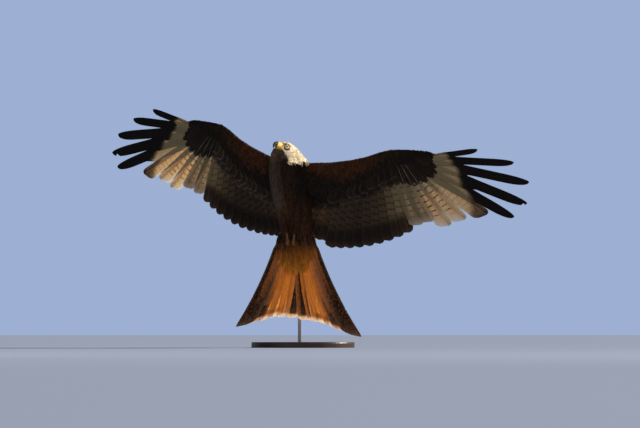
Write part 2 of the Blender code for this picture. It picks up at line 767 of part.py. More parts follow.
def flight_feathers(wing):
    """Every flight feather of a wing from the body out: root, heading, length, widths, finger"""
    feathers = []
    turns = wing.pose["secondary_turns"]
    stretch = wing.pose["secondary_stretch"]
    for number in range(TERTIALS - 1, -1, -1):
        part = (number + 1) / (TERTIALS + 1)
        root = tuple(first + (last - first) * part for first, last in zip(ELBOW, SHOULDER))
        length = (TERTIAL_LENGTH - TERTIAL_STEP * number) * stretch[1]
        feathers.append((wing.turned(root), TERTIAL_TURN + turns[1], length, *TERTIAL_HALVES, 1.0))
    for number in range(SECONDARIES - 1, -1, -1):
        part = number / (SECONDARIES - 1)
        root = tuple(first + (last - first) * part
                     for first, last in zip(SECONDARY_FIRST_ROOT, ELBOW))
        turn = SECONDARY_FIRST_TURN + SECONDARY_TURN_STEP * number
        turn += SECONDARY_TURN_EASE * max(0, number - SECONDARY_EASE_FROM) ** 2
        turn += turns[0] + (turns[1] - turns[0]) * part
        length = SECONDARY_LENGTH - SECONDARY_TAPER * (number + 1 - SECONDARY_MIDDLE) ** 2
        length *= stretch[0] + (stretch[1] - stretch[0]) * part
        feathers.append((wing.turned(root), turn, length, *ARM_HALVES, 1.0))
    for number in range(len(PRIMARY_LENGTHS)):
        root = tuple(first + step * number
                     for first, step in zip(PRIMARY_FIRST_ROOT, PRIMARY_ROOT_STEP))
        turn = PRIMARY_TURNS[number] + wing.pose["primary_turns"][number]
        length = PRIMARY_LENGTHS[number] * wing.pose["primary_stretch"][number]
        ahead, behind = PRIMARY_HALVES[number]
        feathers.append((wing.turned(root), turn, length, ahead, behind, PRIMARY_FINGERS[number]))
    return feathers


def heading(turn):
    """The unit step of a heading in the flat pattern"""
    return (math.cos(math.radians(turn)), math.sin(math.radians(turn)))


def roll_at(feathers, index, point):
    """How far a feather rolls so that it clears its neighbours at a point on it"""
    gaps = []
    for other in (index - 1, index + 1):
        if 0 <= other < len(feathers):
            root, turn = feathers[other][:2]
            way = heading(turn)
            gaps.append(abs((point[0] - root[0]) * way[1] - (point[1] - root[1]) * way[0]))
    return min(MOST_ROLL, VANE_STEP / max(sum(gaps) / len(gaps), LEAST_APART))


def flight_vane(wing, feathers, index):
    """One primary, secondary or tertial"""
    root, turn, length, ahead, behind, finger = feathers[index]
    way = heading(turn)
    side = (-way[1], way[0])
    profile = BROAD_PROFILE
    if finger < 1.0:
        base = tuple((part * finger, lead, trail) for part, lead, trail in FINGER_BASE)
        profile = base + ((finger + FINGER_STEP, 1.0, 1.0),) + FINGER_END
        ahead *= wing.pose["finger_width"]
        behind *= wing.pose["finger_width"]
    stations = []
    for part, lead, trail in profile:
        middle = (root[0] + way[0] * length * part, root[1] + way[1] * length * part)
        thick = VANE_THICKNESS * (1.0 if part < THIN_FROM else THIN_SHARE)
        stations.append((middle, side, ahead * lead, behind * trail, 0.0,
                         roll_at(feathers, index, middle), thick))
    return slab_mesh("vane", wing.point, stations)


def core_exit(wing, root, way):
    """How far along a feather the thick part of the wing ends"""
    rear = sorted(wing.turned((out, rear)) for out, _, rear, _ in CORE_STATIONS)
    outs = [place[0] for place in rear]
    ups = [place[1] for place in rear]
    for step in range(int(REACH_END / REACH_STEP)):
        reach = REACH_STEP * step
        out = root[0] + way[0] * reach
        up = root[1] + way[1] * reach
        if out > outs[-1] or up < float(np.interp(out, outs, ups)):
            return reach
    return REACH_END


def covert_vane(wing, feathers, index, rise, shown):
    """One covert over the base of a flight feather, on one face of the wing"""
    root, turn = feathers[index][:2]
    way = heading(turn)
    side = (-way[1], way[0])
    exit_reach = core_exit(wing, root, way)
    stations = []
    for part, width, thick in COVERT_PROFILE:
        reach = exit_reach - COVERT_SUNK + (COVERT_SUNK + shown) * part
        middle = (root[0] + way[0] * reach, root[1] + way[1] * reach)
        roll = roll_at(feathers, index, middle)
        apart = COVERT_WIDTH_SHARE * VANE_STEP / roll
        half = min(max(apart, COVERT_HALVES[0]), COVERT_HALVES[1]) * width
        stations.append((middle, side, half, half, rise, roll, VANE_THICKNESS * thick))
    return slab_mesh("covert", wing.point, stations)


def build_wing(name, pose, finish, collection):
    """A whole wing as one body"""
    wing = Wing(pose)
    made = add_object(name, wing_core_mesh(wing), finish, collection)
    feathers = flight_feathers(wing)
    pieces = [flight_vane(wing, feathers, index) for index in range(len(feathers))]
    for index in range(len(feathers) - 1):
        arm = index < TERTIALS + SECONDARIES
        shown = COVERT_SHOWN_ARM if arm else COVERT_SHOWN_HAND
        for face in (-1.0, 1.0):
            pieces.append(covert_vane(wing, feathers, index, face * COVERT_RISE, shown))
    join_all(made, pieces)
    cut_away(made, body_mesh("cutter", STUMP_END, NECK_TOP, GAP))
    cut_away(made, nape_mesh(GAP))
    cut_away(made, throat_mesh(GAP))
    return made


def tail_point(across, down, rise):
    """A place on the tail's plane, off it towards the back by the rise"""
    left = Vector((math.cos(TAIL_ROLL), -math.sin(TAIL_ROLL), 0.0))
    back = Vector((math.sin(TAIL_ROLL), math.cos(TAIL_ROLL), 0.0))
    return TAIL_ROOT + left * across - UP * down + back * rise


def tail_vane(side, number):
    """One tail feather, counted from the middle out"""
    left = side > 0
    turn = math.radians((TAIL_TURNS_LEFT if left else TAIL_TURNS_RIGHT)[number])
    length = TAIL_LENGTHS[number] * (TAIL_STRETCH_LEFT if left else TAIL_STRETCH_RIGHT)
    share = (number + 0.5) / len(TAIL_LENGTHS)
    spread = TAIL_SPREAD_LEFT if left else TAIL_SPREAD_RIGHT
    root = np.array((side * spread * share, TAIL_ROOT_DOWN))
    tip = np.array((side * math.sin(turn), math.cos(turn))) * length
    first = math.radians(TAIL_FIRST_HEADING * share)
    reach = TAIL_BEND * np.linalg.norm(tip - root)
    bend = root + np.array((side * math.sin(first), math.cos(first))) * reach
    layer = TAIL_TOP_LAYER - TAIL_LAYER * number
    if number == 0 and not left:
        layer += TAIL_LAYER
    stations = []
    for part, outer, inner in TAIL_PROFILE:
        middle = (1 - part) ** 2 * root + 2 * part * (1 - part) * bend + part ** 2 * tip
        way = (1 - part) * (bend - root) + part * (tip - bend)
        way = way / np.linalg.norm(way)
        out = np.array((side * way[1], -side * way[0]))
        stations.append((tuple(middle), tuple(out), TAIL_OUTER_HALVES[number] * outer,
                         TAIL_INNER_HALVES[number] * inner, layer, 0.0, VANE_THICKNESS))
    return slab_mesh("vane", tail_point, stations)


def fan_base_mesh():
    """The flat cushion of coverts that holds the spread tail's quills"""
    rings = []
    for down, half_width, half_depth in FAN_BASE:
        ring = []
        for index in range(FAN_BASE_SIDES):
            angle = 2 * math.pi * index / FAN_BASE_SIDES
            across = math.copysign(abs(math.cos(angle)) ** FAN_BASE_SQUARE, math.cos(angle))
            deep = math.copysign(abs(math.sin(angle)) ** FAN_BASE_SQUARE, math.sin(angle))
            ring.append(tail_point(FAN_BASE_MIDDLE + half_width * across, down, half_depth * deep))
        rings.append(ring)
    return loft_mesh("fan base", rings)


def build_tail(finish, collection):
    """The plumed stump and its fan of feathers as one body"""
    stump = body_mesh("tail", STUMP_END, TAIL_TOP + TAIL_SPARE)
    tail = add_object("tail", stump, finish, collection)
    vanes = [tail_vane(side, number) for side in (1.0, -1.0) for number in range(len(TAIL_LENGTHS))]
    join_all(tail, vanes + [fan_base_mesh()])
    cut_away(tail, body_mesh("cutter", TAIL_TOP, TORSO_TOP, GAP))
    return tail


def belly_point(across, off, height):
    """A place off the belly's surface, across from the midline towards the bird's left"""
    _, centre, half_width, half_depth = smooth_rows(BODY_SECTIONS, [height])[0]
    depth = half_depth * math.sqrt(max(0.0, 1.0 - (across / half_width) ** 2)) + off
    return Vector((centre, 0.0, height)) + BODY_LEFT * across - BODY_BACK * depth


def tube_mesh(name, points, radii, sides=8):
    """A round tapering form along a line of points"""
    rings = []
    for number, middle in enumerate(points):
        before = points[max(0, number - 1)]
        after = points[min(len(points) - 1, number + 1)]
        along = (after - before).normalized()
        across = along.cross(BODY_LEFT + UP * TUBE_LEAN).normalized()
        over = along.cross(across)
        ring = []
        for index in range(sides):
            angle = 2 * math.pi * index / sides
            ring.append(middle + (across * math.cos(angle) + over * math.sin(angle)) * radii[number])
        rings.append(ring)
    return loft_mesh(name, rings)


def curl_points(start, length, first, last, steps):
    """Points along an arc that starts at a place and bends in the plane of belly and height"""
    points = [start]
    for step in range(steps):
        angle = math.radians(first + (last - first) * (step + 0.5) / steps)
        way = -UP * math.cos(angle) - BODY_BACK * math.sin(angle)
        points.append(points[-1] + way * (length / steps))
    return points


def build_leg(name, side, finishes, collection):
    """Feathered thigh, yellow foot with its toes clenched, and four claws"""
    thigh_axis = (UP - BODY_LEFT * (THIGH_LEAN * -side)).normalized()
    across = (BODY_LEFT - thigh_axis * BODY_LEFT.dot(thigh_axis)).normalized()
    axes = (across, thigh_axis.cross(across), thigh_axis)
    centre = belly_point(side * THIGH_SIDE, -THIGH_SUNK, THIGH_CENTRE_HEIGHT)
    thigh = add_object("leg_" + name, ball_mesh("leg", centre, THIGH_RADII, axes, *LEG_FACETS),
                       finishes["rufous"], collection)
    cut_away(thigh, body_mesh("cutter", TAIL_TOP, TORSO_TOP, GAP))
    top = belly_point(side * TARSUS_TOP[0], TARSUS_TOP[1], TARSUS_TOP[2])
    end = belly_point(side * TARSUS_END[0] + FOOT_SHIFT, TARSUS_END[1], TARSUS_END[2])
    shank = [top.lerp(end, part) for part in SHANK_PARTS]
    radii = [TARSUS_RADIUS] * (len(shank) - 1) + [ANKLE_RADIUS]
    foot = add_object("foot_" + name, tube_mesh("foot", shank, radii), finishes["yellow"],
                      collection)
    toes = []
    claws = []
    for number, (across_place, length, first, last, claw, claw_last) in enumerate(TOES):
        start = end + BODY_LEFT * (side * (across_place - TARSUS_END[0]) * TOE_SPREAD[0])
        points = curl_points(start, length, first, last, TOE_STEPS)
        shift = BODY_LEFT * (side * (across_place - TARSUS_END[0]) * TOE_SPREAD[1])
        points = [point + shift * (index / (len(points) - 1)) for index, point in enumerate(points)]
        radii = np.linspace(TOE_RADII[0], TOE_RADII[1], len(points))
        toes.append(tube_mesh("toe", points, radii, TOE_SIDES))
        base = points[-1].lerp(points[-2], CLAW_SUNK)
        hook = curl_points(base, claw, last, claw_last, CLAW_STEPS)
        claws.append((hook, number))
    join_all(foot, toes)
    cut_away(foot, ball_mesh("cutter", centre, [size + GAP for size in THIGH_RADII], axes,
                            *LEG_FACETS))
    for hook, number in claws:
        radii = np.linspace(CLAW_RADII[0], CLAW_RADII[1], len(hook))
        grown = [hook[0] - (hook[1] - hook[0]).normalized() * GAP] + hook[1:]
        cut_away(foot, tube_mesh("cutter", grown, radii + GAP, CLAW_SIDES))
        add_object("claw_%s_%d" % (name, number + 1), tube_mesh("claw", hook, radii, CLAW_SIDES),
                   finishes["claw"], collection)


def build_stand(finishes, collection):
    """Flat round base and one bent rod up to the back"""
    form = bmesh.new()
    bmesh.ops.create_cone(form, cap_ends=True, segments=BASE_SIDES, radius1=BASE_RADIUS,
                          radius2=BASE_RADIUS, depth=BASE_HEIGHT,
                          matrix=Matrix.Translation((0, 0, BASE_HEIGHT / 2)))
    rim = [edge for edge in form.edges
           if all(abs(vert.co.z - BASE_HEIGHT) < MERGE for vert in edge.verts)]
    bmesh.ops.bevel(form, geom=rim, offset=BASE_BEVEL, segments=2, profile=0.5, affect="EDGES",
                    material=-1)
    mesh = bpy.data.meshes.new("stand_base")
    form.to_mesh(mesh)
    form.free()
    add_object("stand_base", mesh, finishes["wood"], collection)
    start = Vector((ROD_CORNER.x, ROD_CORNER.y, ROD_STRAIGHT))
    points = [ROD_FOOT]
    for part in np.linspace(0.0, 1.0, ROD_BENDS):
        points.append(start.lerp(ROD_CORNER, part).lerp(ROD_CORNER.lerp(ROD_TIP, part), part))
    curve = bpy.data.curves.new("stand_rod", "CURVE")
    curve.dimensions = "3D"
    curve.bevel_depth = ROD_RADIUS
    curve.bevel_resolution = 2
    curve.use_fill_caps = True
    line = curve.splines.new("POLY")
    line.points.add(len(points) - 1)
    for spot, place in zip(line.points, points):
        spot.co = (*place, 1.0)
    drawn = bpy.data.objects.new("rod_line", curve)
    bpy.context.scene.collection.objects.link(drawn)
    mesh = bpy.data.meshes.new_from_object(
        drawn.evaluated_get(bpy.context.evaluated_depsgraph_get()))
    bpy.data.objects.remove(drawn, do_unlink=True)
    form = bmesh.new()
    form.from_mesh(mesh)
    bmesh.ops.remove_doubles(form, verts=form.verts, dist=MERGE)
    bmesh.ops.recalc_face_normals(form, faces=form.faces)
    form.to_mesh(mesh)
    form.free()
    rod = add_object("stand_rod", mesh, finishes["steel"], collection)
    cut_away(rod, body_mesh("cutter", TAIL_TOP, TORSO_TOP, GAP))


def main():
    """Builds every node"""
    clear_scene()
    collection = bpy.data.collections.new("red_kite")
    bpy.context.scene.collection.children.link(collection)
    finishes = {
        "cream": finish_material("cream head feathers", (0.78, 0.72, 0.60), 0.8),
        "grey": finish_material("grey streaked neck feathers", (0.30, 0.24, 0.20), 0.8),
        "rufous": finish_material("rufous body feathers", (0.42, 0.22, 0.12), 0.8),
        "dark": finish_material("dark wing feathers", (0.16, 0.11, 0.09), 0.7),
        "orange": finish_material("orange tail feathers", (0.66, 0.32, 0.14), 0.7),
        "horn": finish_material("dark horn of the bill", (0.12, 0.12, 0.14), 0.35),
        "eye": finish_material("pale iris", (0.80, 0.74, 0.52), 0.1),
        "yellow": finish_material("yellow scaled skin", (0.82, 0.66, 0.18), 0.5),
        "claw": finish_material("black horn of the claws", (0.05, 0.05, 0.06), 0.3),
        "wood": finish_material("dark stained wood", (0.14, 0.10, 0.08), 0.4),
        "steel": finish_material("brushed steel", (0.60, 0.60, 0.62), 0.35, 1.0),
    }
    build_head(finishes, collection)
    build_body(finishes, collection)
    build_wing("wing_left", LEFT_WING, finishes["dark"], collection)
    build_wing("wing_right", RIGHT_WING, finishes["dark"], collection)
    build_tail(finishes["orange"], collection)
    build_leg("left", 1.0, finishes, collection)
    build_leg("right", -1.0, finishes, collection)
    build_stand(finishes, collection)


main()
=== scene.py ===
# %% [markdown]
# A red kite, life size, as a museum would show it: held in its gliding pose by one steel rod on a
# round wooden base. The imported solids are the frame: they fix the place and the size of every part.
# This notebook dresses them with one skin, and lays every feather on it as a thin closed blade.

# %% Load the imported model
import itertools
import math

import bmesh
import bpy
import numpy as np
from mathutils import Matrix, Vector
from mathutils.bvhtree import BVHTree


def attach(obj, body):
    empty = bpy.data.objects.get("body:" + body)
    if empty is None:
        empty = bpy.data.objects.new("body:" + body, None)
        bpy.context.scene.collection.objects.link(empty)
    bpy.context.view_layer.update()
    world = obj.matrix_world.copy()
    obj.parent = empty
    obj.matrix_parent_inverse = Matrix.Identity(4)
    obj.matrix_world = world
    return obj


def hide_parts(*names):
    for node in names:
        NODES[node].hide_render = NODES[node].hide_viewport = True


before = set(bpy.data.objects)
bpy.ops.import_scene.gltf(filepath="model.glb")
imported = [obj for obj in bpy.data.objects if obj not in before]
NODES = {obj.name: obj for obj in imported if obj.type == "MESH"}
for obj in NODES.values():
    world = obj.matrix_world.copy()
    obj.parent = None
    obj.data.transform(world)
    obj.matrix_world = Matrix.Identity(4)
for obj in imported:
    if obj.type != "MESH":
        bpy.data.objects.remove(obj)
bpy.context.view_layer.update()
BODY = "root"
RANDOM_SEED = 4538

# %% [markdown]
# Every finish below starts from a few colours as a painter would name them, in sRGB. Cycles counts
# in linear light, so one function turns a hex colour into linear parts. A second small function adds
# any shader node with its settings and links, and a third lays paint over paint, which keeps each
# material readable as a recipe.

# %% Helpers for colours, shaders and objects
MATH = "ShaderNodeMath"
MIX = "ShaderNodeMix"
NOISE = "ShaderNodeTexNoise"


def linear(colour):
    """The linear parts of an sRGB hex colour, with a full alpha"""
    parts = [int(colour[place:place + 2], 16) / 255 for place in (1, 3, 5)]
    return (*[part / 12.92 if part <= 0.04045 else ((part + 0.055) / 1.055) ** 2.4 for part in parts], 1.0)


def set_inputs(tree, node, inputs):
    """Gives a node's inputs their values, or links them to sockets or to the results of nodes"""
    for name, value in inputs.items() if isinstance(inputs, dict) else enumerate(inputs):
        if isinstance(value, bpy.types.Node):
            value = next(output for output in value.outputs if output.enabled)
        if isinstance(value, bpy.types.NodeSocket):
            tree.links.new(value, node.inputs[name])
        else:
            node.inputs[name].default_value = value


def add_node(tree, kind, inputs=(), **settings):
    """One shader node of any kind, with its settings and its inputs by place or by name"""
    node = tree.nodes.new(kind)
    for name, value in settings.items():
        setattr(node, name, value)
    set_inputs(tree, node, inputs)
    return node


def layered(tree, ground, *layers):
    """A ground colour under layers of paint, each with the share of the place that it covers"""
    colour = linear(ground)
    for share, paint in layers:
        colour = add_node(tree, MIX, {0: share, 6: colour, 7: linear(paint)},
                          data_type="RGBA", clamp_factor=True)
    return colour


def new_material(name):
    """An empty material with its Principled shader, and the shader's tree"""
    material = bpy.data.materials.new(name)
    material.use_nodes = True
    tree = material.node_tree
    return material, tree, tree.nodes["Principled BSDF"]


def add_object(name, data):
    """A new object in the scene"""
    item = bpy.data.objects.new(name, data)
    bpy.context.scene.collection.objects.link(item)
    return item


print("a middle grey:", [round(part, 3) for part in linear("#808080")])

# %% [markdown]
# The photograph looks level at the bird from far off with a long lens, so the model is seen from nine
# metres away. The camera stands just above the floor and looks a little up, which keeps the
# photograph's framing without any shift.

# %% Camera
CAMERA_PLACE = Vector((0.0561, -9.0, 0.05))
CAMERA_TARGET = Vector((0.0561, 0.0, 0.4409))
CAMERA_LENS = 153.4
SENSOR_WIDTH = 36.0
CAMERA_FAR = 60.0

camera_data = bpy.data.cameras.new("camera")
camera_data.lens = CAMERA_LENS
camera_data.sensor_width = SENSOR_WIDTH
camera_data.clip_end = CAMERA_FAR
camera = add_object("camera", camera_data)
camera.location = CAMERA_PLACE
camera.rotation_euler = (CAMERA_TARGET - CAMERA_PLACE).to_track_quat("-Z", "Y").to_euler()
bpy.context.scene.camera = camera
print("camera", (CAMERA_TARGET - CAMERA_PLACE).length, "m from the bird")

# %% [markdown]
# The bird glides against an even blue-grey sky, lit from above and behind, so its underside lies in
# soft shade. A plain world colour gives that sky, and the floor is plain and pale. One warm sun
# stands above, behind and to the right, and two large soft lamps open the shade as in a studio. In
# life the low sun also strikes the turned face and shines through the tail. A second sun for the
# face and two small lamps for the tail do that here, and light linking keeps them off the rest.

# %% Sky, floor and lamps
SKY = "#9db0d3"
SKY_LIGHT = "#bcbec6"
SKY_FILL = 0.26
FLOOR = "#9fb4dc"
FLOOR_SIZE = 40.0

world = bpy.data.worlds.new("sky")
bpy.context.scene.world = world
world.use_nodes = True
sky_tree = world.node_tree
sky_tree.nodes.clear()
seen = add_node(sky_tree, "ShaderNodeBackground", (linear(SKY), 1.0))
fill = add_node(sky_tree, "ShaderNodeBackground", (linear(SKY_LIGHT), SKY_FILL))
path = add_node(sky_tree, "ShaderNodeLightPath")
choice = add_node(sky_tree, "ShaderNodeMixShader", (path.outputs["Is Camera Ray"], fill, seen))
add_node(sky_tree, "ShaderNodeOutputWorld", (choice,))

form = bmesh.new()
bmesh.ops.create_grid(form, x_segments=1, y_segments=1, size=FLOOR_SIZE)
floor_mesh = bpy.data.meshes.new("floor")
form.to_mesh(floor_mesh)
form.free()
floor = add_object("floor", floor_mesh)
# Matt emulsion paint: no sheen at all
floor_material, floor_tree, floor_shader = new_material("matt painted floor")
set_inputs(floor_tree, floor_shader, {"Base Color": linear(FLOOR), "Roughness": 0.9})
floor_mesh.materials.append(floor_material)


def add_lamp(name, place, target, power, size, colour, kind="AREA"):
    """A soft square lamp of a size in metres that faces a point, or a far sun of a size in degrees"""
    data = bpy.data.lights.new(name, kind)
    data.energy = power
    data.color = linear(colour)[:3]
    if kind == "SUN":
        data.angle = math.radians(size)
    else:
        data.size = size
    lamp = add_object(name, data)
    lamp.location = place
    lamp.rotation_euler = (Vector(target) - Vector(place)).to_track_quat("-Z", "Y").to_euler()
    return lamp


def link_light(lamp, names, state="INCLUDE"):
    """Lets a lamp light only the named pieces, or all but them"""
    group = bpy.data.collections.new(lamp.name + " pieces")
    for name in names:
        group.objects.link(bpy.data.objects[name])
    for item in group.collection_objects:
        item.light_linking.link_state = state
    lamp.light_linking.receiver_collection = group


START = (0.0, 0.0, 0.0)
BIRD_MIDDLE = (0.0, 0.0, 0.45)
sun = add_lamp("sun", START, (-0.85, -0.27, -0.45), 5.0, 2.0, "#ffeed6", "SUN")
head_sun = add_lamp("head sun", START, (-0.66, 0.62, -0.42), 4.0, 4.0, "#fff0da", "SUN")
add_lamp("front lamp", (1.6, -3.6, 2.2), BIRD_MIDDLE, 15.0, 2.2, "#ffe6c8")
add_lamp("low lamp", (-1.8, -3.0, 0.5), BIRD_MIDDLE, 8.0, 2.0, "#ffdcb4")
back_lamp = add_lamp("back lamp", (0.9, 1.5, 0.3), (-0.02, 0.0, 0.20), 14.0, 0.5, "#ffdcae")
tail_lamp = add_lamp("tail lamp", (0.3, -1.6, 0.1), (0.0, 0.0, 0.22), 19.0, 0.8, "#ffcf9a")

# %% [markdown]
# A feather is a flat blade on a stiff shaft. Thousands are needed, so one small closed blade is made
# with operators: a grid, a mirrored copy of it below, and the two rims merged, like a thin lens. Each
# feather then takes a copy of its points, moved by a few rules, and all copies become one mesh.

# %% The closed blade that every feather starts from
class Blade:
    """A closed sheet of two faces that meet at the rim, as arrays over its points"""

    def __init__(self, columns, rows):
        form = bmesh.new()
        bmesh.ops.create_grid(form, x_segments=columns, y_segments=rows, size=1.0)
        for vert in form.verts:
            vert.co.z = 0.0 if vert.is_boundary else 1.0
        copied = bmesh.ops.duplicate(form, geom=form.verts[:] + form.edges[:] + form.faces[:])["geom"]
        lower = [item for item in copied if isinstance(item, bmesh.types.BMVert)]
        bmesh.ops.scale(form, vec=(1.0, 1.0, -1.0), verts=lower)
        bmesh.ops.reverse_faces(form, faces=[item for item in copied
                                             if isinstance(item, bmesh.types.BMFace)])
        bmesh.ops.remove_doubles(form, verts=form.verts, dist=1e-4)
        form.verts.index_update()
        places = np.array([vert.co for vert in form.verts])
        self.across = places[:, 0]
        self.along = (places[:, 1] + 1.0) / 2.0
        self.side = places[:, 2]
        self.faces = np.array([[vert.index for vert in face.verts] for face in form.faces])
        self.size = len(places)
        form.free()


SMALL_BLADE = Blade(2, 4)
LONG_BLADE = Blade(4, 7)
FLIGHT_BLADE = Blade(12, 72)
SHARP_RIM = math.radians(50.0)
print("triangles a blade:", [2 * len(blade.faces) for blade in (SMALL_BLADE, LONG_BLADE, FLIGHT_BLADE)])


# %% Join copies of a blade into one piece
PATCH = 0.003


def add_piece(name, mesh, material, replaces):
    """Links a finished mesh, lets it ride on the body and stand for CAD nodes"""
    piece = add_object(name, mesh)
    mesh.materials.append(material)
    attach(piece, BODY)
    if replaces:
        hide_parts(*replaces)
    return piece


def join_blades(name, blade, points, marks, lines, uv, material, replaces=()):
    """One mesh of many feathers

    points, marks and lines hold one row for each feather and one place for each point of the blade.
    uv is each feather's own patch: the corner and the two sides of its rectangle.
    """
    count = len(points)
    faces = (blade.faces[None] + (np.arange(count) * blade.size)[:, None, None]).reshape(-1, 4)
    mesh = bpy.data.meshes.new(name)
    mesh.from_pydata(points.reshape(-1, 3), [], faces)
    blades = np.empty((count, blade.size, 3), np.float32)
    blades[..., 0] = blade.along
    blades[..., 1] = blade.across
    blades[..., 2] = np.linalg.norm(points.max(1) - points.min(1), axis=1)[:, None]
    for key, kind, field, values in (("blade", "FLOAT_VECTOR", "vector", blades),
                                     ("marks", "FLOAT_COLOR", "color", marks),
                                     ("lines", "FLOAT_VECTOR", "vector", lines)):
        values = np.asarray(values, np.float32).ravel()
        mesh.attributes.new(key, kind, "POINT").data.foreach_set(field, values)
    layer = mesh.uv_layers.new(name="OFBake")
    inside = np.stack([(blade.across + 1.0) / 2.0, blade.along], axis=1)
    places = uv[:, None, :2] + inside[None] * uv[:, None, 2:]
    layer.data.foreach_set("uv", places.reshape(-1, 2)[faces.ravel()].astype(np.float32).ravel())
    mesh.shade_smooth()
    mesh.set_sharp_from_angle(angle=SHARP_RIM)
    mesh.update()
    print(name, "feathers:", count, "triangles:", 2 * len(faces))
    return add_piece(name, mesh, material, replaces)


def ease(value, low, high):
    """0 below low, 1 above high and a soft S between"""
    part = np.clip((value - low) / (high - low), 0.0, 1.0)
    return part * part * (3.0 - 2.0 * part)


def blank_marks(count):
    """Empty marks and lines for some points"""
    return np.zeros((count, 4)), np.zeros((count, 3))


def strips(count):
    """The patches of some long feathers, side by side"""
    return np.array([(0.01 + index / (count + 0.5), 0.01, 0.8 / count, 0.97) for index in range(count)])


def feather_place(root, way, down, reach):
    """A place in a feather's plane, down from its root and off its shaft"""
    return root[0] + way[0] * down - way[1] * reach, root[1] + way[1] * down + way[0] * reach


print("patch of a small feather:", PATCH, "of the layout's side")

# %% [markdown]
# The real plumage gets its colour from pigment in each feather: a dark or rufous ground, pale fringes,
# bars across the vane and a paler shaft. One recipe serves all feather materials. It reads three
# attributes of the pieces: blade (along, across, length), marks (dark, pale, rust, shade) and lines
# (bars, fringe, shaft). Fine barbs run slantwise off the shaft as bump, drawn coarser than in life.

# %% The feather material recipe
# Barbs every 1.6 mm, where real ones stand 0.4 mm apart and wouldn't show
BARB_SPACING = 0.0016
BARB_LEAN = 0.012
BAR_LEAN = 0.005
BAR_WOBBLE = 0.012
# Mottling about 6 mm across; streaks about 3 mm wide and 16 mm long once the grain stretches them
MOTTLE_SCALE = 160.0
STREAK_SCALE = 4.0


